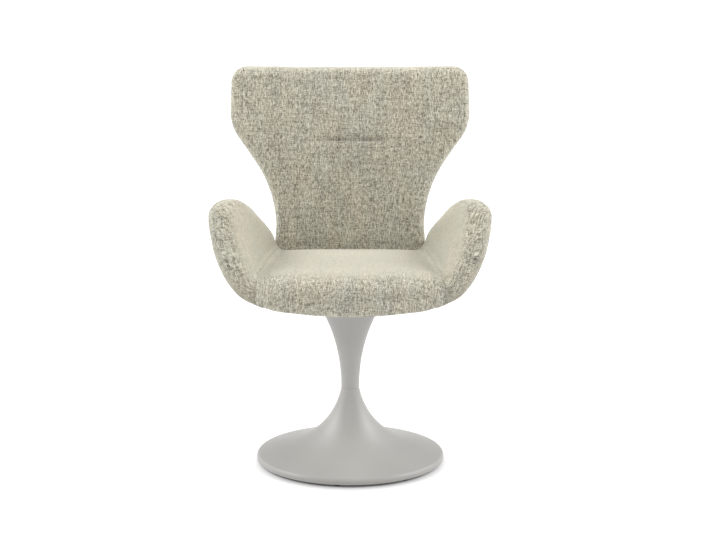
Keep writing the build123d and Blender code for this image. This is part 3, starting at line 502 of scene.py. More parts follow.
class ArmForm:
    """One petal arm, given by its level sections; side is 1 for the left arm and -1 for the right."""

    def __init__(self, s, side):
        self.s = s
        self.side = side
        self.foot, self.tip = ARM_SECTIONS[0, 0], ARM_SECTIONS[-1, 0]

    def line(self, height):
        """Front centre, run direction, run length, half thickness and rear rounding at a height."""
        columns = [along_table(ARM_SECTIONS[:, 0], ARM_SECTIONS[:, k], height) for k in range(1, 7)]
        front = np.stack(columns[0:2], -1)
        run = np.stack(columns[2:4], -1) - front
        size = np.hypot(run[:, 0], run[:, 1])
        return front, run / size[:, None], size, columns[4], columns[5]

    def section_place(self, points):
        """Place along and across the section that a point is level with."""
        front, run, size, half, rear = self.line(points[:, 2])
        flat = points[:, :2] * (self.side, 1) - front
        along = (flat * run).sum(-1)
        across = flat[:, 0] * run[:, 1] - flat[:, 1] * run[:, 0]
        return along, across, size, half, rear

    def petal(self, points):
        """The arm before it is parted from the seat: rounded front, even thickness, tapered rear."""
        along, across, size, half, rear = self.section_place(points)
        past = np.maximum(along - size, 0) * half / rear
        form = np.hypot(np.minimum(along, 0) + past, across) - half
        height = points[:, 2]
        return inside_both(form, np.maximum(height - self.tip, self.foot - height), self.s.lip)

    def cloth_place(self, points, normals):
        """Where a point of the cover lies on the cloth, when that is laid out flat."""
        half = self.s.padding
        mirror = np.array((self.side, 1, 1))
        base = (points - half * normals) * mirror
        front, run = self.line(base[:, 2])[:2]
        higher_front, higher_run = self.line(base[:, 2] + RISE)[:2]
        along = ((base[:, :2] - front) * run).sum(-1)
        side = np.concatenate([run, np.zeros((len(run), 1))], 1)
        middle = front + along[:, None] * run
        middle_up = higher_front + along[:, None] * higher_run
        up = unit(np.concatenate([middle_up - middle, np.full((len(run), 1), RISE)], 1))
        face = unit(np.cross(side, up))
        face = face * -np.sign(face[:, :1])
        turn, way_along, way_up = bent_over(normals * mirror, face, side, up)
        outer = turn > OUTER_TURN
        turn = np.where(outer, pi - turn, turn)
        u = along + way_along * half * turn + OUTER_CLOTH * outer
        v = base[:, 2] * FACE_SLOPE + way_up * half * turn + self.side
        return np.stack([u, v], -1) + ARM_CLOTH


# ---------------------------------------------------------------- seat, its form
LEVELLING = (0.1, 0.8)  # shares of the way back between which the top loses its side fall
UNDER_ROUND = 0.003  # rounding of the under pad's lower edge
WINDOW_ROUND = 0.002  # rounding of the window in the under pad


class SeatForm:
    """The seat cushion: a crowned top, a front roll that runs into the apron, and tucked sides."""

    def __init__(self, s):
        self.s = s

    def sideways(self, x):
        """0 in the middle, 1 at the cushion's side, and a little more past it."""
        return np.clip(np.abs(x) / self.s.half_width, 0, 1.2)

    def roll(self, x):
        """Front, crown line and roll height at a distance from the middle."""
        s = self.s
        sideways = self.sideways(x)
        wrap = s.front_wrap * sideways**2
        return s.front + wrap, s.crown_y + wrap / 2, s.roll_height - s.roll_side_loss * sideways**4

    def top(self, x, y):
        """Height of the top, which falls towards the sides and the back and swells between."""
        s = self.s
        crown_at = self.roll(x)[1]
        q = np.clip((y - crown_at) / (s.rear - crown_at), 0, 1)
        side_fall = s.side_fall * self.sideways(x) ** 4 * (1 - s.rear_level * ramp(*LEVELLING, q))
        return s.crown - side_fall - s.rear_fall * q + 4 * s.top_bow * q * (1 - q)

    def underside(self, x):
        """Height of the underside, a shallow trough that is drawn up at the corners."""
        s = self.s
        trough = s.underside + s.underside_radius - np.sqrt(s.underside_radius**2 - x**2)
        return trough + s.corner_lift * self.sideways(x) ** 8

    def block(self, points):
        """The cushion before it is fitted between the arms and the back."""
        s = self.s
        x, y, z = points.T
        top = self.top(x, y)
        front, crown_at, roll_height = self.roll(x)
        roll_foot = top - roll_height
        lean = s.tuck * np.clip((roll_foot - z) / (roll_foot - s.underside), 0, 1)
        depth = crown_at - front
        ahead = front + lean - y
        over = z - top
        a = np.maximum(ahead + depth, 0) / depth
        b = np.maximum(over + roll_height, 0) / roll_height
        roll = np.where((a > 0) & (b > 0), (np.hypot(a, b) - 1) * roll_height, np.maximum(ahead, over))
        form = inside_both(roll, np.abs(x) - s.half_width, s.side_round)
        return inside_both(form, self.underside(x) - z, s.lower_round)

    def frame_room(self, points):
        """Space kept for the seat board, for what is screwed on it and for the under pad."""
        board = box_form(points, *BOARD_BOX)
        return np.minimum(board, box_form(points, *UNDER_BOX))

    def under_pad(self, points):
        """The cloth-covered pad under the seat, with a window for the seat plate."""
        below = self.underside(points[:, 0]) - points[:, 2]
        form = inside_both(box_form(points, *UNDER_BOX), below, UNDER_ROUND)
        return inside_both(form, -box_form(points, *WINDOW_BOX), WINDOW_ROUND)

    def cloth_place(self, points, normals):
        """Where a point of the cover lies on the cloth, when that is laid out flat."""
        x, y, z = points.T
        front, crown_at, roll_height = self.roll(x)
        roll_foot = self.top(x, y) - roll_height
        depth = crown_at - front
        turned = np.arctan2(
            np.maximum(crown_at - y, 0) / depth, np.maximum(z - roll_foot, 0) / roll_height
        )
        mean_radius = (depth + roll_height) / 2
        v = np.where(y > crown_at, y, crown_at - turned * mean_radius)
        v = v - np.maximum(roll_foot - z, 0)
        side_turn = np.arcsin(np.clip(np.abs(normals[:, 0]), 0, 1))
        u = x + np.sign(x) * self.s.side_round * (side_turn - np.sin(side_turn))
        return np.stack([u, v], -1) + SEAT_CLOTH


# ---------------------------------------------------------------- the upholstery as a whole
FILLET_START, FILLET_FULL = 0.020, 0.062  # heights over the underside where the filled hollow grows
LEAST_FILLET = 0.001


class Upholstery:
    """The forms of all soft pieces, made once from the settings.

    Seat and arms flow into each other, so they are one body that is parted where both are equally near.
    """

    def __init__(self):
        chair = settings()
        self.back = BackForm(chair.back)
        self.left = ArmForm(chair.arms, 1)
        self.right = ArmForm(chair.arms, -1)
        self.seat = SeatForm(chair.seat)
        self.fabric = chair.fabric
        self.fillet_rise = chair.seat.underside + FILLET_START, chair.seat.underside + FILLET_FULL

    def arms(self, points):
        """Both arms."""
        return np.minimum(self.left.petal(points), self.right.petal(points))

    def body_and_parting(self, own, other, height):
        """The body that two forms make together, and the surface that parts them, as forms.

        The hollow between them is filled on the side of the sitter and runs out towards the underside.
        """
        low, high = self.fillet_rise
        reach = LEAST_FILLET + self.fabric.fillet * ramp(low, high, height)
        return melted(own, other, reach), (own - other + SEAM_GAP) / 2

    def parted(self, own, other, height):
        """One side of the body that two forms make together."""
        body, parting = self.body_and_parting(own, other, height)
        return inside_both(body, parting, self.fabric.seam_round)

    def cushion(self, points):
        """The seat cushion, parted from the arms, tucked under the back and hollow for the frame."""
        form = self.parted(self.seat.block(points), self.arms(points), points[:, 2])
        across, up, ahead = self.back.across_up_ahead(points)
        behind = self.back.face_depth(across, up) + SEAM_GAP - ahead
        form = inside_both(form, behind, self.fabric.tuck_round)
        return np.maximum(form, SEAM_GAP - self.seat.frame_room(points))

    def arm_pad(self, arm):
        """The form of one arm, parted from the seat and tucked against the back."""

        def form(points):
            own = self.parted(arm.petal(points), self.seat.block(points), points[:, 2])
            return inside_both(own, SEAM_GAP - self.back.envelope(points), self.fabric.tuck_round)

        return form

    def seat_edge(self, points):
        """The two forms that meet along the cushion's seams with the arms."""
        return self.body_and_parting(self.seat.block(points), self.arms(points), points[:, 2])

    def arm_edge(self, arm):
        """The two forms that meet along an arm's seam with the cushion."""

        def forms(points):
            return self.body_and_parting(arm.petal(points), self.seat.block(points), points[:, 2])

        return forms


# ---------------------------------------------------------------- meshes
GRID_MARGIN = 2  # steps that the grid goes past the piece
GRID_DEPTH = 3  # steps from the surface to where the samples are cut off
LEVELS = 4000  # samples of the way that a band stretches the heights
MERGE_REACH = 1e-6  # points closer than this are one
CLOTH_STEPS = 20  # frames that the filling presses for


def form_mesh(form, low, high, step, band=None):
    """Points and square faces on the surface of a form, from samples on a grid.

    A band is a height, its reach and how much denser the grid is there.
    """
    low = np.array(low) - GRID_MARGIN * step
    high = np.array(high) + GRID_MARGIN * step
    level = np.linspace(low[2], high[2], LEVELS)
    spread = level.copy()
    if band:
        height, reach, density = band
        spread += (density - 1) * reach * np.tanh((level - height) / reach)
    start = np.array((low[0], low[1], spread[0]))
    count = np.ceil((np.array((high[0], high[1], spread[-1])) - start) / step).astype(int) + 1
    x, y, z = np.meshgrid(*(start[k] + step * np.arange(count[k]) for k in range(3)), indexing="ij")
    z = np.interp(z, spread, level)
    values = form(np.stack([x.ravel(), y.ravel(), z.ravel()], -1)).reshape(x.shape)
    depth = GRID_DEPTH * step
    grid = openvdb.FloatGrid(background=float(depth))
    grid.copyFromArray(np.clip(values, -depth, depth).astype(np.float32))
    points, quads = grid.convertToQuads(isovalue=0.0)
    points = start + np.asarray(points, float) * step
    points[:, 2] = np.interp(points[:, 2], spread, level)
    return settle(form, points), np.asarray(quads)


def new_piece(name, points, faces, smooth=True):
    """A mesh object at the origin, made of points and faces, with its faces outwards."""
    mesh = bpy.data.meshes.new(name)
    mesh.from_pydata([tuple(p) for p in points], [], [tuple(int(i) for i in f) for f in faces])
    work = bmesh.new()
    work.from_mesh(mesh)
    bmesh.ops.remove_doubles(work, verts=work.verts, dist=MERGE_REACH)
    bmesh.ops.recalc_face_normals(work, faces=work.faces)
    work.to_mesh(mesh)
    work.free()
    mesh.polygons.foreach_set("use_smooth", [smooth] * len(mesh.polygons))
    piece = bpy.data.objects.new(name, mesh)
    bpy.context.scene.collection.objects.link(piece)
    return piece


def vectors_of(piece, name):
    """One vector for each point of a piece."""
    flat = np.empty(len(piece.data.vertices) * 3, np.float32)
    piece.data.vertices.foreach_get(name, flat)
    return flat.reshape(-1, 3).astype(float)


def points_of(piece):
    """Place of each point of a piece."""
    return vectors_of(piece, "co")


def normals_of(piece):
    """Way that the surface faces at each point of a piece."""
    return vectors_of(piece, "normal")


def move_points(piece, points):
    """Give the points of a piece new places."""
    piece.data.vertices.foreach_set("co", points.astype(np.float32).ravel())
    piece.data.update()


def bake(piece):
    """Keep what the piece's modifiers make, as its plain mesh."""
    bpy.context.view_layer.update()
    evaluated = piece.evaluated_get(bpy.context.evaluated_depsgraph_get())
    mesh = bpy.data.meshes.new_from_object(evaluated)
    piece.modifiers.clear()
    old = piece.data
    piece.data = mesh
    bpy.data.meshes.remove(old)
    mesh.name = piece.name


def inflate(piece, openness, swell):
    """Let the filling press the cover out as cloth, by at most the swell where it is open."""
    rest = points_of(piece)
    cloth = piece.modifiers.new("filling", "CLOTH")
    cover = cloth.settings
    cover.quality = 4
    cover.mass = 0.3
    cover.use_pressure = True
    cover.uniform_pressure_force = 4.0
    cover.tension_stiffness = 25
    cover.compression_stiffness = 10
    cover.bending_stiffness = 3
    cover.effector_weights.gravity = 0
    cloth.collision_settings.use_self_collision = False
    scene = bpy.context.scene
    for number in range(1, CLOTH_STEPS + 1):
        scene.frame_set(number)
    bake(piece)
    scene.frame_set(1)
    move = points_of(piece) - rest
    size = np.linalg.norm(move, axis=1, keepdims=True)
    most = swell * openness[:, None]
    move_points(piece, rest + move * np.minimum(1, most / np.maximum(size, TINY)))


def refine(piece, levels=1):
    """Subdivide and keep the result."""
    step = piece.modifiers.new("refine", "SUBSURF")
    step.levels = levels
    step.render_levels = levels
    bake(piece)
    piece.data.polygons.foreach_set("use_smooth", [True] * len(piece.data.polygons))


def draw_in(piece, form, neighbours, fabric):
    """Lay the points near a neighbour back on the form, so that seams stay tight."""
    points = points_of(piece)
    room = np.min([n(points) for n in neighbours], axis=0)
    near = (1 - ramp(fabric.hold, 2 * fabric.hold, room))[:, None]
    move_points(piece, points + (settle(form, points) - points) * near)


def gradients(forms, points, reach=0.0004):
    """Gradients of the two forms that a pair function gives."""
    steps = [(forms(points + step), forms(points - step)) for step in np.eye(3) * reach]
    return [
        np.stack([ahead[k] - behind[k] for ahead, behind in steps], -1) / (2 * reach) for k in (0, 1)
    ]


def edge_ends(mesh):
    """The two points of each edge."""
    ends = np.empty(len(mesh.edges) * 2, np.int32)
    mesh.edges.foreach_get("vertices", ends)
    return ends.reshape(-1, 2)


def mean_spacing(points, ends):
    """Mean length of the edges that meet at each point."""
    size = np.linalg.norm(points[ends[:, 0]] - points[ends[:, 1]], axis=1)
    spacing = np.zeros(len(points))
    shared = np.zeros(len(points))
    for end in (0, 1):
        np.add.at(spacing, ends[:, end], size)
        np.add.at(shared, ends[:, end], 1)
    return spacing / np.maximum(shared, 1)


def settle_on_both(forms, points, turns=4, longest=0.002, least_slope=0.05):
    """Points moved onto the line where two forms meet."""
    for _ in range(turns):
        a, b = forms(points)
        slope_a, slope_b = gradients(forms, points)
        aa, bb, ab = (slope_a**2).sum(1), (slope_b**2).sum(1), (slope_a * slope_b).sum(1)
        size = np.maximum(aa * bb - ab * ab, least_slope)
        along_a = ((a * bb - b * ab) / size)[:, None] * slope_a
        along_b = ((b * aa - a * ab) / size)[:, None] * slope_b
        points = points - np.clip(along_a + along_b, -longest, longest)
    return points


def sharpen(piece, forms, near_share=0.6):
    """Draw the points nearest to the line where two forms meet onto that line, and keep it sharp."""
    mesh = piece.data
    points = points_of(piece)
    ends = edge_ends(mesh)
    near = np.hypot(*forms(points)) < near_share * mean_spacing(points, ends)
    points[near] = settle_on_both(forms, points[near])
    move_points(piece, points)
    on_line = near[ends].all(1)
    for name, kind in (("sharp_edge", "BOOLEAN"), ("crease_edge", "FLOAT")):
        mark = mesh.attributes.get(name) or mesh.attributes.new(name, kind, "EDGE")
        mark.data.foreach_set("value", on_line)


def set_weave(piece, places):
    """Write the cloth's own coordinates, in metres, to the UV map that the fabric reads."""
    layer = piece.data.uv_layers.new(name="weave")
    corner = np.empty(len(piece.data.loops), np.int32)
    piece.data.loops.foreach_get("vertex_index", corner)
    layer.data.foreach_set("uv", places[corner].astype(np.float32).ravel())


# ---------------------------------------------------------------- materials
TWEED_TURN = (0.6, 0.5, 0.7)  # turns the grid of a noise away from the yarns, so that it doesn't show
THREADS, WARP, FLECK, BARS = 1.7, 0.6, 0.5, 0.45  # how much each grain counts in the cloth's tone
MEAN_TONE = 0.55 * THREADS + 0.5 * (WARP + FLECK + 2 * BARS)
WARP_RUN, WEFT_RUN = 6, 5  # pitches that a yarn keeps its tone for
FLECK_WIDTH, FLECK_HEIGHT = 1.2, 1.4  # in pitches
UPRIGHT_BAR, LEVEL_BAR = (0.005, 0.070), (0.060, 0.004)  # width and height of slow changes of tone
CLOUD = (0.045, 0.120)  # width and height of warmer and cooler patches
# Painted light on the cloth: lighter tone and less contrast where it faces up or inward, as if lit there.
PAINTED_LIGHT_TOP = (0.80, 0.995)  # upward part of the facing, from no painted light to full painted light
PAINTED_LIGHT_INSIDE = (0.30, 0.80)  # inward part of the facing, likewise
PAINTED_LIGHT_EVEN = 0.72  # share of the contrast that the painted light takes away
PAINTED_LIGHT_LIFT = 0.07  # tone that the painted light adds
ZINC = (0.50, 0.50, 0.49), (0.66, 0.66, 0.67)  # dull and bright
BIRCH = (0.42, 0.28, 0.15), (0.62, 0.45, 0.27), (0.74, 0.58, 0.38)  # from dark to light grain
THREAD = (0.30, 0.28, 0.23), (0.46, 0.44, 0.37)  # hollow and crest of the twist; the darker hollow is painted shade
FRAME_BLACK = (0.035, 0.035, 0.035)
GLIDE_BLACK = (0.022, 0.022, 0.022)
NYLON_BLACK = (0.03, 0.03, 0.03)
WHITE = (1, 1, 1, 1)
FLOOR_GREY = (0.36, 0.36, 0.36, 1)


class Pattern:
    """The nodes of a material or of the studio, added one step at a time."""

    def __init__(self, tree):
        self.nodes = tree.nodes
        self.links = tree.links

    def node(self, kind, **choices):
        """A new node with its own choices set."""
        made = self.nodes.new(kind)
        for name, value in choices.items():
            setattr(made, name, value)
        return made

    def feed(self, socket, value):
        """Link an input to a socket, or set it to a plain value."""
        if isinstance(value, bpy.types.NodeSocket):
            self.links.new(value, socket)
        else:
            socket.default_value = value

    def place(self):
        """Coordinates of the piece itself."""
        return self.node("ShaderNodeTexCoord").outputs["Object"]

    def parts(self, vector):
        """X, Y and Z of a vector."""
        made = self.node("ShaderNodeSeparateXYZ")
        self.feed(made.inputs[0], vector)
        return made.outputs

    def scaled(self, source, scale, turn=(0, 0, 0)):
        """Coordinates scaled and then turned, so that the grain of a noise needn't follow its grid."""
        made = self.node("ShaderNodeMapping")
        self.feed(made.inputs["Scale"], scale)
        self.feed(made.inputs["Rotation"], turn)
        self.feed(made.inputs["Vector"], source)
        return made.outputs["Vector"]

    def noise(self, source, scale=1.0, detail=2, roughness=0.5):
        """Soft random tone."""
        made = self.node("ShaderNodeTexNoise")
        self.feed(made.inputs["Vector"], source)
        self.feed(made.inputs["Scale"], scale)
        self.feed(made.inputs["Detail"], detail)
        self.feed(made.inputs["Roughness"], roughness)
        return made.outputs["Fac"]

    def maths(self, operation, *values):
        """One sum on sockets or numbers."""
        made = self.node("ShaderNodeMath", operation=operation)
        for socket, value in zip(made.inputs, values):
            self.feed(socket, value)
        return made.outputs[0]

    def sum_of(self, *terms):
        """Sum of values, each times its weight."""
        total = None
        for value, weight in terms:
            part = self.maths("MULTIPLY", value, weight)
            total = part if total is None else self.maths("ADD", total, part)
        return total

    def eased(self, value, low, high, start=0.0, end=1.0):
        """A value that goes smoothly from start to end while another goes from low to high."""
        made = self.node("ShaderNodeMapRange", interpolation_type="SMOOTHSTEP")
        names = ("Value", "From Min", "From Max", "To Min", "To Max")
        for name, given in zip(names, (value, low, high, start, end)):
            self.feed(made.inputs[name], given)
        return made.outputs["Result"]

    def tones(self, source, *stops):
        """Colours by a value; each stop is a position and a linear colour."""
        made = self.node("ShaderNodeValToRGB")
        elements = made.color_ramp.elements
        while len(elements) < len(stops):
            elements.new(0.5)
        for element, (position, tone) in zip(elements, stops):
            element.position = position
            element.color = (*tone, 1)
        self.feed(made.inputs["Fac"], source)
        return made.outputs["Color"]


class Finish(Pattern):
    """A material and the steps of its pattern."""

    def __init__(self, name):
        self.material = bpy.data.materials.new(name)
        self.material.use_nodes = True
        super().__init__(self.material.node_tree)
        self.shader = self.nodes["Principled BSDF"]

    def give(self, **values):
        """Set the shader's inputs, named in small letters with underscores for the spaces."""
        for name, value in values.items():
            title = name.replace("_", " ").title().replace("Ior", "IOR")
            self.feed(self.shader.inputs[title], value)

    def relief(self, height, strength, depth):
        """Fine relief of at most this depth."""
        bump = self.node("ShaderNodeBump")
        self.feed(bump.inputs["Strength"], strength)
        self.feed(bump.inputs["Distance"], depth)
        self.feed(bump.inputs["Height"], height)
        self.give(normal=bump.outputs["Normal"])


class Tweed(Finish):
    """Melange tweed: fine crossed yarns in cream, stone and umber, laid out on the weave map."""

    def __init__(self):
        super().__init__("melange tweed")
        self.cloth = self.node("ShaderNodeUVMap", uv_map="weave").outputs["UV"]

    def streaks(self, wide, high, detail=1):
        """Soft random tone in streaks of about this width and height."""
        return self.noise(self.scaled(self.cloth, (1 / wide, 1 / high, 1), TWEED_TURN), detail=detail)

    def ribs(self, direction, pitch, waver):
        """Rounded yarns side by side."""
        wave = self.node("ShaderNodeTexWave", bands_direction=direction)
        self.feed(wave.inputs["Scale"], WAVE_TURNS / pitch)
        self.feed(wave.inputs["Distortion"], waver)
        self.feed(wave.inputs["Detail Scale"], 1.0)
        self.feed(wave.inputs["Vector"], self.cloth)
        return wave.outputs["Fac"]

    def painted_light(self):
        """Share of painted light, from 0 to 1, where the cloth faces up, as on the top of the seat, and
        where it faces inward, as on the insides of the arms.
        """
        where = self.node("ShaderNodeTexCoord").outputs
        facing = self.parts(where["Normal"])
        side = self.maths("SIGN", self.parts(where["Object"])["X"])
        outward = self.maths("MULTIPLY", facing["X"], side)
        inward = self.maths("MULTIPLY", outward, -1.0)
        return self.maths(
            "MAXIMUM", self.eased(facing["Z"], *PAINTED_LIGHT_TOP), self.eased(inward, *PAINTED_LIGHT_INSIDE)
        )


def melange_tweed():
    """The cover fabric."""
    f = settings().fabric
    tweed = Tweed()
    warp = tweed.streaks(f.warp_pitch, WARP_RUN * f.warp_pitch)
    weft = tweed.streaks(WEFT_RUN * f.weft_pitch, f.weft_pitch)
    threads = tweed.maths("MAXIMUM", warp, weft)
    fleck = tweed.streaks(FLECK_WIDTH * f.warp_pitch, FLECK_HEIGHT * f.weft_pitch)
    bars = tweed.maths(
        "ADD", tweed.streaks(*UPRIGHT_BAR, detail=2), tweed.streaks(*LEVEL_BAR, detail=2)
    )
    cloud = tweed.streaks(*CLOUD, detail=3)

    # painted light: a lighter, more even tone where the cloth faces up or inward
    painted_light = tweed.painted_light()
    contrast = tweed.maths("SUBTRACT", 1.0, tweed.maths("MULTIPLY", painted_light, PAINTED_LIGHT_EVEN))
    mix = tweed.sum_of((threads, THREADS), (warp, WARP), (fleck, FLECK), (bars, BARS))
    spread = tweed.maths("MULTIPLY", tweed.maths("SUBTRACT", mix, MEAN_TONE), contrast)
    middle = tweed.maths("ADD", tweed.maths("MULTIPLY", painted_light, PAINTED_LIGHT_LIFT), 0.5)
    tone = tweed.maths("ADD", spread, middle)
    yarns = tweed.tones(tone, (0.08, f.dark_yarn), (0.50, f.mid_yarn), (0.92, f.light_yarn))
    tint = tweed.tones(cloud, (0.36, f.cool_tint), (0.64, f.warm_tint))
    dyed = tweed.node("ShaderNodeMix", data_type="RGBA", blend_type="MULTIPLY")
    for name, value in (("Factor", 1.0), ("A", yarns), ("B", tint)):
        tweed.feed(dyed.inputs[name], value)

    crossed = tweed.maths(
        "MAXIMUM", tweed.ribs("X", f.warp_pitch, waver=1.2), tweed.ribs("Y", f.weft_pitch, waver=1.6)
    )
    tweed.relief(tweed.sum_of((crossed, 0.5), (threads, 1.6), (fleck, 0.8)), strength=0.75, depth=0.0011)
    tweed.give(base_color=dyed.outputs["Result"], roughness=0.95, specular_ior_level=0.12)
    tweed.give(sheen_weight=0.25, sheen_roughness=0.6)
    return tweed.material


def painted(name, tone, roughness, grain_scale, grain, wear):
    """Powder coat: a faint orange peel, and slight changes of tone, by the wear, and of gloss."""
    paint = Finish(name)
    where = paint.place()
    cloud = paint.noise(where, scale=9, detail=3)
    darker = tuple(max(part - wear, 0) for part in tone)
    lighter = tuple(min(part + wear, 1) for part in tone)
    gloss_change = 0.08
    paint.give(
        base_color=paint.tones(cloud, (0.3, darker), (0.7, lighter)),
        roughness=paint.maths("MULTIPLY_ADD", cloud, gloss_change, roughness - gloss_change / 2),
    )
    paint.relief(paint.noise(where, grain_scale), strength=grain, depth=0.0003)
    return paint.material


def moulded(name, tone, roughness):
    """Moulded plastic with a fine spark-eroded grain."""
    return painted(name, tone, roughness, grain_scale=1800, grain=0.35, wear=0.008)


def turned_steel():
    """Zinc-plated steel with fine turning lines and a mottled plating."""
    steel = Finish("zinc plated steel")
    where = steel.place()
    lines = steel.noise(steel.scaled(where, (40, 40, 2600)))
    spots = steel.noise(where, scale=120, detail=3)
    dull, bright = ZINC
    least_roughness, change = 0.22, 0.2
    steel.give(
        base_color=steel.tones(spots, (0.3, dull), (0.7, bright)),
        metallic=1.0,
        roughness=steel.maths("MULTIPLY_ADD", lines, change, least_roughness),
    )
    steel.relief(lines, strength=0.2, depth=0.0001)
    return steel.material


def birch(name, along, across):
    """Plain birch plywood: long grain on its faces and thin plies on its edges."""
    wood = Finish(name)
    where = wood.place()
    grain = wood.noise(wood.scaled(where, along), detail=5, roughness=0.65)
    plies = wood.noise(wood.scaled(where, across), detail=1)
    dark, mid, light = BIRCH
    tone = wood.sum_of((grain, 0.7), (plies, 0.35))
    wood.give(base_color=wood.tones(tone, (0.3, dark), (0.5, mid), (0.75, light)), roughness=0.65)
    wood.relief(grain, strength=0.3, depth=0.0003)
    return wood.material


def finish_nodes(material, *names):
    """Give the objects of CAD nodes their material."""
    for name in names:
        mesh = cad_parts[name].data
        mesh.materials.clear()
        mesh.materials.append(material)


def dress(piece, fill, *nodes):
    """Hand a finished pad to the frame."""
    piece.data.materials.clear()
    piece.data.materials.append(bpy.data.materials.get("melange tweed") or melange_tweed())
    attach(piece, "chair")
    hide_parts(*nodes)


# ---------------------------------------------------------------- stitches
TREE_NAME = "hand stitches"
TREE_INPUTS = {
    "Path": "NodeSocketGeometry",
    "Pitch": "NodeSocketFloat",
    "Stitch": "NodeSocketVector",
    "Slant": "NodeSocketFloat",
    "Unevenness": "NodeSocketFloat",
    "Seed": "NodeSocketInt",
    "Thread": "NodeSocketMaterial",
}
PATH_STEPS = 3  # points of a path for each stitch on it
BACK_SEED, UNDER_SEED = 4, 9
THREAD_TWIST = 450  # scale of the bands on the thread


def sewing_thread():
    """Twisted cream thread, with painted shade in the hollows of its twist."""
    thread = Finish("sewing thread")
    twist = thread.node("ShaderNodeTexWave", bands_direction="DIAGONAL")
    thread.feed(twist.inputs["Scale"], THREAD_TWIST)
    thread.feed(twist.inputs["Vector"], thread.place())
    hollow, crest = THREAD
    thread.give(base_color=thread.tones(twist.outputs["Fac"], (0.2, hollow), (0.8, crest)), roughness=0.7)
    return thread.material


class StitchTree:
    """Geometry Nodes: one stitch, set along a thread's path at an even pitch and a slant."""

    def __init__(self):
        self.tree = bpy.data.node_groups.new(TREE_NAME, "GeometryNodeTree")
        for name, kind in TREE_INPUTS.items():
            self.tree.interface.new_socket(name, in_out="INPUT", socket_type=kind)
        self.tree.interface.new_socket("Stitches", in_out="OUTPUT", socket_type="NodeSocketGeometry")
        self.given = self.tree.nodes.new("NodeGroupInput").outputs

    def node(self, kind, **given):
        """A node with its choices and inputs set, or linked where a socket is given."""
        made = self.tree.nodes.new(kind)
        for name, value in given.items():
            if name not in made.inputs.keys():
                setattr(made, name, value)
            elif isinstance(value, bpy.types.NodeSocket):
                self.tree.links.new(value, made.inputs[name])
            else:
                made.inputs[name].default_value = value
        return made

    def direction(self):
        """Turn of a stitch: along the path, seated on the cloth, and slanted."""
        tangent = self.node("GeometryNodeInputTangent").outputs["Tangent"]
        along = self.node("FunctionNodeAlignRotationToVector", axis="X", Vector=tangent)
        lay = self.node("GeometryNodeInputNamedAttribute", data_type="FLOAT_VECTOR", Name="lay")
        seated = self.node(
            "FunctionNodeAlignRotationToVector",
            axis="Z",
            pivot_axis="X",
            Rotation=along.outputs["Rotation"],
            Vector=lay.outputs["Attribute"],
        )
        slant = self.node("ShaderNodeCombineXYZ", Z=self.given["Slant"])
        tilt = self.node("FunctionNodeEulerToRotation", Euler=slant.outputs[0])
        turned = self.node(
            "FunctionNodeRotateRotation", rotation_space="LOCAL", Rotation=seated.outputs["Rotation"]
        )
        self.tree.links.new(tilt.outputs["Rotation"], turned.inputs["Rotate By"])
        return turned.outputs["Rotation"]

    def size(self):
        """Size of a stitch, a little uneven."""
        wobble = self.node("FunctionNodeRandomValue", data_type="FLOAT", Seed=self.given["Seed"])
        for operation, socket in (("SUBTRACT", 2), ("ADD", 3)):
            limit = self.node("ShaderNodeMath", operation=operation)
            limit.inputs[0].default_value = 1.0
            self.tree.links.new(self.given["Unevenness"], limit.inputs[1])
            self.tree.links.new(limit.outputs[0], wobble.inputs[socket])
        size = self.node("ShaderNodeVectorMath", operation="SCALE")
        self.tree.links.new(self.given["Stitch"], size.inputs[0])
        self.tree.links.new(wobble.outputs[1], size.inputs["Scale"])
        return size.outputs["Vector"]

    def finish(self):
        """Set the stitches along the path, and return the finished tree."""
        curve = self.node("GeometryNodeMeshToCurve", Mesh=self.given["Path"]).outputs["Curve"]
        even = self.node("GeometryNodeResampleCurve", mode="LENGTH", Curve=curve, Length=self.given["Pitch"])
        bead = self.node("GeometryNodeMeshUVSphere", Segments=8, Rings=5, Radius=0.5)
        placed = self.node(
            "GeometryNodeInstanceOnPoints",
            Points=even.outputs["Curve"],
            Instance=bead.outputs["Mesh"],
            Rotation=self.direction(),
            Scale=self.size(),
        )
        real = self.node("GeometryNodeRealizeInstances", Geometry=placed.outputs["Instances"])
        dressed = self.node(
            "GeometryNodeSetMaterial", Geometry=real.outputs["Geometry"], Material=self.given["Thread"]
        )
        result = self.tree.nodes.new("NodeGroupOutput").inputs["Stitches"]
        self.tree.links.new(dressed.outputs["Geometry"], result)
        return self.tree


def even_loop(corners, step):
    """Points at even steps round a closed polygon."""
    closed = np.concatenate([corners, corners[:1]])
    way = np.concatenate([[0], np.cumsum(np.linalg.norm(np.diff(closed, axis=0), axis=1))])
    stops = np.arange(0, way[-1], step)
    return np.stack([np.interp(stops, way, closed[:, k]) for k in range(closed.shape[1])], -1)


def thread_path(name, path, lay):
    """A closed path as an object; lay points away from the cloth."""
    count = len(path)
    mesh = bpy.data.meshes.new(name)
    mesh.from_pydata([tuple(p) for p in path], [(i, (i + 1) % count) for i in range(count)], [])
    away = mesh.attributes.new("lay", "FLOAT_VECTOR", "POINT")
    away.data.foreach_set("vector", np.asarray(lay, np.float32).ravel())
    piece = bpy.data.objects.new(name, mesh)
    bpy.context.scene.collection.objects.link(piece)
    return piece


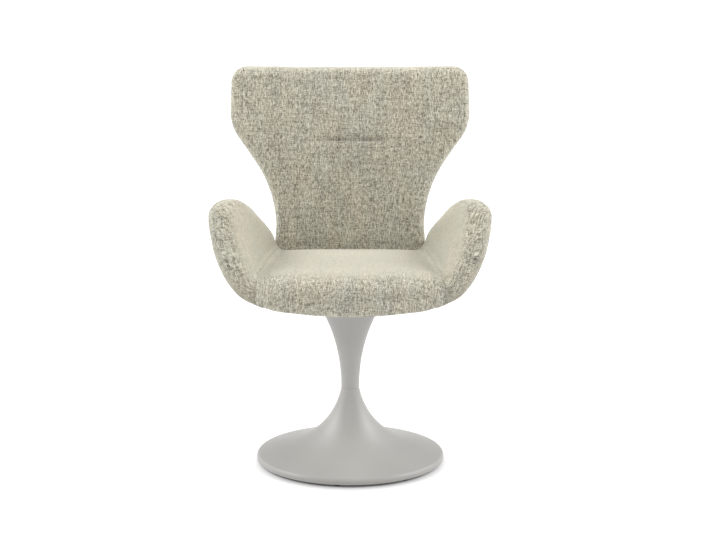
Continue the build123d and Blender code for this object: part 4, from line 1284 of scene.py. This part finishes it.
def sew(name, path, lay, seed):
    """Stitches along a closed path."""
    s = settings().stitches
    piece = thread_path(name, path, lay)
    tree = bpy.data.node_groups.get(TREE_NAME) or StitchTree().finish()
    steps = piece.modifiers.new("stitches", "NODES")
    steps.node_group = tree
    given = {
        "Pitch": s.pitch,
        "Stitch": (s.length, s.thickness, s.thickness),
        "Slant": s.slant,
        "Unevenness": s.unevenness,
        "Seed": seed,
        "Thread": bpy.data.materials.get("sewing thread") or sewing_thread(),
    }
    for item in tree.interface.items_tree:
        if item.name in given:
            steps[item.identifier] = given[item.name]
    bake(piece)
    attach(piece, "chair")


# ---------------------------------------------------------------- pieces
PAD_MARGIN = 0.008  # how far past its CAD node a form is looked for
HOLD_FADE = 6  # holds away from a seam where the filling may swell the cover fully
# Height, reach and density of the finer grid where a form is most sharply curved.
SEAT_BAND = (0.425, 0.018, 2.0)
ARM_BAND_REACH = (0.020, 2.5)
CREASE_BAND_REACH = (0.022, 2.6)


def pad_piece(name, form, nodes, neighbours, fill, weave, band=None, edge=None):
    """Mesh a form, let it swell, refine it, and dress it; edge gives the two forms of its open seam."""
    fabric = settings().fabric
    low = np.min([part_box(n)[0] for n in nodes], axis=0) - PAD_MARGIN
    high = np.max([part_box(n)[1] for n in nodes], axis=0) + PAD_MARGIN
    points, faces = form_mesh(form, low, high, fabric.mesh_step, band)
    piece = new_piece(name, points, faces)
    if edge:
        sharpen(piece, edge)
    room = np.min([n(points_of(piece)) for n in neighbours], axis=0)
    inflate(piece, ramp(fabric.hold, HOLD_FADE * fabric.hold, room), fabric.swell)
    refine(piece)
    draw_in(piece, form, neighbours, fabric)
    if edge:
        sharpen(piece, edge)
    set_weave(piece, weave(points_of(piece), normals_of(piece)))
    dress(piece, fill, *nodes)


class ARMCHAIR_OT_seat(bpy.types.Operator):
    """Make the seat cushion with its crown, front roll, apron and tucked sides"""

    bl_idname = "armchair.seat"
    bl_label = "Seat cushion"

    def execute(self, context):
        forms = Upholstery()
        seat = forms.seat
        pad_piece(
            "seat_cushion_cover",
            forms.cushion,
            ["seat_cushion"],
            [forms.left.petal, forms.right.petal, forms.back.envelope, seat.frame_room],
            fill=0.85,
            weave=seat.cloth_place,
            band=SEAT_BAND,
            edge=forms.seat_edge,
        )
        pad_piece(
            "seat_under_cover",
            seat.under_pad,
            ["seat_underpad"],
            [held_everywhere],
            fill=0.9,
            weave=lambda points, normals: points[:, :2] + UNDER_CLOTH,
        )
        return {"FINISHED"}


class ARMCHAIR_OT_arms(bpy.types.Operator):
    """Make the two petal arm pads"""

    bl_idname = "armchair.arms"
    bl_label = "Arm pads"

    def execute(self, context):
        forms = Upholstery()
        for arm, side_name in ((forms.left, "left"), (forms.right, "right")):
            pad_piece(
                f"arm_pad_cover_{side_name}",
                forms.arm_pad(arm),
                [f"arm_pad_{side_name}"],
                [forms.seat.block, forms.back.envelope],
                fill=0.85,
                weave=arm.cloth_place,
                band=(arm.foot, *ARM_BAND_REACH),
                edge=forms.arm_edge(arm),
            )
        return {"FINISHED"}


class ARMCHAIR_OT_back(bpy.types.Operator):
    """Make the front and rear pads of the back"""

    bl_idname = "armchair.back"
    bl_label = "Back pads"

    def execute(self, context):
        forms = Upholstery()
        back = forms.back
        arms = [forms.left.petal, forms.right.petal]
        pad_piece(
            "back_front_cover",
            back.front_pad,
            ["back_front_pad"],
            [*arms, forms.seat.block, back.board],
            fill=0.8,
            weave=back.front_cloth_place,
            band=(settings().back.crease_height, *CREASE_BAND_REACH),
        )
        pad_piece(
            "back_rear_cover",
            back.rear_pad,
            ["back_rear_pad"],
            [*arms, back.board],
            fill=0.8,
            weave=back.rear_cloth_place,
        )
        return {"FINISHED"}


class ARMCHAIR_OT_finishes(bpy.types.Operator):
    """Give the pedestal, the frame and the hardware their finishes"""

    bl_idname = "armchair.finishes"
    bl_label = "Finishes"

    def execute(self, context):
        grey = tuple(settings().pedestal.paint)
        satin = painted(
            "warm grey powder coat", grey, roughness=0.46, grain_scale=700, grain=0.12, wear=0.01
        )
        black = painted(
            "black frame paint", FRAME_BLACK, roughness=0.5, grain_scale=500, grain=0.3, wear=0.01
        )
        finish_nodes(satin, "trumpet_base", "column_cone", "neck_ring")
        # The ballast plate is painted black like the frame; seen in the gap under the rim, its black also
        # stands in for the shade there: painted shade.
        finish_nodes(black, "ballast_plate", "seat_plate", "swivel_post")
        finish_nodes(black, "arm_frame_left", "arm_frame_right", "back_bracket_left", "back_bracket_right")
        finish_nodes(moulded("black glide plastic", GLIDE_BLACK, roughness=0.55), "glides")
        nylon = moulded("black nylon", NYLON_BLACK, roughness=0.4)
        finish_nodes(nylon, "neck_sleeve", "lower_bush", "upper_bush", "thrust_washer")
        steel = turned_steel()
        finish_nodes(steel, "spindle", "spindle_clip", "cone_screws", "foot_screws", "flange_screws")
        finish_nodes(steel, "seat_bolts", "tee_nuts", "arm_screws", "back_screws")
        lying = birch("birch seat board", along=(70, 6, 70), across=(1, 1, 700))
        upright = birch("birch back board", along=(70, 70, 6), across=(1, 700, 1))
        finish_nodes(lying, "seat_board")
        finish_nodes(upright, "back_board")
        return {"FINISHED"}


# ---------------------------------------------------------------- studio
SENSOR_WIDTH = 36.0  # millimetres
FLOOR_REACH = 40.0  # middle of the floor to its sides, in metres
# Glow of the floor: dimmed in a ring round the foot, which paints a contact shadow there, and rising again
# far out.
PAINTED_SHADOW_CENTRE = (0, -0.028, 0)
PAINTED_SHADOW_RING = (0.195, 0.245)  # distances between which the shadow ends
PAINTED_SHADOW_GLOW = 0.05
FAR_RING = (0.5, 3.0)
FAR_GLOW = (0.0, 0.4)
WALL_TOP = (0.10, 0.60)  # upward part of the direction, from white wall to ceiling
# Softboxes: name, place, what it is aimed at, width and height, power in watts.
SOFTBOXES = (
    ("left softbox", (-2.3, 0.3, 2.2), (0, 0, 0.4), (1.8, 1.8), 77),
    ("right softbox", (2.3, 0.3, 2.2), (0, 0, 0.4), (1.8, 1.8), 77),
    ("overhead softbox", (0.0, 0.6, 3.3), (0, 0, 0.4), (1.6, 1.6), 38),
    ("front softbox", (0.0, -3.2, 2.5), (0, 0, 0.7), (2.4, 1.2), 33),
)


def photo_camera(s):
    """The camera at the photograph's viewing angle."""
    data = bpy.data.cameras.new("photo camera")
    data.sensor_width = SENSOR_WIDTH
    data.sensor_fit = "HORIZONTAL"
    data.lens = s.lens
    camera = bpy.data.objects.new("photo camera", data)
    camera.location = (0, -s.camera_distance, s.camera_height)
    camera.rotation_euler = (pi / 2 - s.pitch, 0, -s.yaw)
    bpy.context.scene.collection.objects.link(camera)
    return camera


def pale_floor(s):
    """A matt floor that glows, but less round where the foot stands on it: a painted contact shadow."""
    finish = Finish("pale floor")
    finish.give(base_color=FLOOR_GREY, roughness=0.9, specular_ior_level=0.0, emission_color=WHITE)

    def away_from(centre):
        away = finish.node("ShaderNodeVectorMath", operation="DISTANCE")
        finish.feed(away.inputs[0], finish.place())
        finish.feed(away.inputs[1], centre)
        return away.outputs["Value"]

    # painted contact shadow: the glow drops close round the foot
    painted_shadow = finish.eased(away_from(PAINTED_SHADOW_CENTRE), *PAINTED_SHADOW_RING, PAINTED_SHADOW_GLOW, s.floor_glow)
    far = finish.eased(away_from((0, 0, 0)), *FAR_RING, *FAR_GLOW)
    finish.give(emission_strength=finish.maths("ADD", painted_shadow, far))
    corners = [(x * FLOOR_REACH, y * FLOOR_REACH, 0) for x, y in ((-1, -1), (1, -1), (1, 1), (-1, 1))]
    floor = new_piece("floor", corners, [(0, 1, 2, 3)], smooth=False)
    floor.data.materials.append(finish.material)


def studio_walls(s):
    """White walls all round under a darker ceiling."""
    world = bpy.data.worlds.new("studio")
    world.use_nodes = True
    walls = Pattern(world.node_tree)
    background = walls.nodes["Background"].inputs
    height = walls.parts(walls.place())["Z"]
    walls.feed(background["Color"], WHITE)
    walls.feed(background["Strength"], walls.eased(height, *WALL_TOP, s.wall_glow, s.ceiling_glow))
    return world


def soft_box(name, where, aim, size, power):
    """One rectangular studio light."""
    data = bpy.data.lights.new(name, "AREA")
    data.shape = "RECTANGLE"
    data.size, data.size_y = size
    data.energy = power
    lamp = bpy.data.objects.new(name, data)
    lamp.location = where
    lamp.rotation_euler = (Vector(aim) - Vector(where)).to_track_quat("-Z", "Y").to_euler()
    bpy.context.scene.collection.objects.link(lamp)


class ARMCHAIR_OT_stage(bpy.types.Operator):
    """Set up the floor, the lights and the camera"""

    bl_idname = "armchair.stage"
    bl_label = "Stage"

    def execute(self, context):
        scene = context.scene
        s = settings().stage
        scene.view_settings.view_transform = "Standard"
        scene.camera = photo_camera(s)
        pale_floor(s)
        scene.world = studio_walls(s)
        for softbox in SOFTBOXES:
            soft_box(*softbox)
        return {"FINISHED"}


class ARMCHAIR_OT_stitches(bpy.types.Operator):
    """Sew the closing seam round the back and the edge of the cloth under the seat"""

    bl_idname = "armchair.stitches"
    bl_label = "Stitches"

    def execute(self, context):
        forms = Upholstery()
        s = settings().stitches
        self.sew_back(forms.back, s)
        self.sew_under_cover(forms.seat, s)
        return {"FINISHED"}

    def sew_back(self, back, s):
        """Close the two pads of the back round its edge."""
        outline = even_loop(back.outline_points, s.pitch / PATH_STEPS)
        rim = back.place(*outline.T, -back.s.board_half - SEAM_GAP / 2)
        ahead = np.roll(outline, -1, 0) - np.roll(outline, 1, 0)
        outward = unit(np.stack([ahead[:, 1], -ahead[:, 0]], -1))
        lay = outward[:, :1] * (1, 0, 0) + outward[:, 1:] * back.up
        sew("back_closing_stitches", rim - s.sink * lay, lay, BACK_SEED)

    def sew_under_cover(self, seat, s):
        """Sew the edge of the cloth under the seat."""
        (low_x, low_y, _), (high_x, high_y, _) = UNDER_BOX
        corners = np.array([(low_x, low_y), (high_x, low_y), (high_x, high_y), (low_x, high_y)])
        edge = even_loop(corners, s.pitch / PATH_STEPS)
        path = np.concatenate([edge, seat.underside(edge[:, :1])], 1)
        down = np.tile((0.0, 0.0, -1.0), (len(path), 1))
        sew("under_cover_stitches", path, down, UNDER_SEED)


# ---------------------------------------------------------------- add-on
OPERATORS = (
    ARMCHAIR_OT_stage,
    ARMCHAIR_OT_finishes,
    ARMCHAIR_OT_seat,
    ARMCHAIR_OT_arms,
    ARMCHAIR_OT_back,
    ARMCHAIR_OT_stitches,
)


class ARMCHAIR_PT_panel(bpy.types.Panel):
    """Settings and steps of the armchair"""

    bl_idname = "ARMCHAIR_PT_panel"
    bl_label = "Pedestal swivel armchair"
    bl_space_type = "VIEW_3D"
    bl_region_type = "UI"
    bl_category = "Armchair"

    def draw(self, context):
        for operator in OPERATORS:
            self.layout.operator(operator.bl_idname)
        for group in ("seat", "back", "arms", "fabric", "stitches", "pedestal", "stage"):
            box = self.layout.box()
            box.label(text=group.capitalize())
            values = getattr(context.scene.armchair, group)
            for name in values.__annotations__:
                box.prop(values, name)


CLASSES = (
    SeatSettings,
    BackSettings,
    ArmSettings,
    FabricSettings,
    StitchSettings,
    PedestalSettings,
    StageSettings,
    ArmchairSettings,
    *OPERATORS,
    ARMCHAIR_PT_panel,
)


def register():
    """Make the settings, the operators and the panel known."""
    for cls in CLASSES:
        bpy.utils.register_class(cls)
    bpy.types.Scene.armchair = PointerProperty(type=ArmchairSettings)


def unregister():
    """Take them out again."""
    del bpy.types.Scene.armchair
    for cls in reversed(CLASSES):
        bpy.utils.unregister_class(cls)


def main():
    """Make all pieces in order."""
    register()
    bpy.ops.armchair.stage()
    bpy.ops.armchair.finishes()
    bpy.ops.armchair.seat()
    bpy.ops.armchair.arms()
    bpy.ops.armchair.back()
    bpy.ops.armchair.stitches()


if __name__ == "__main__":
    main()
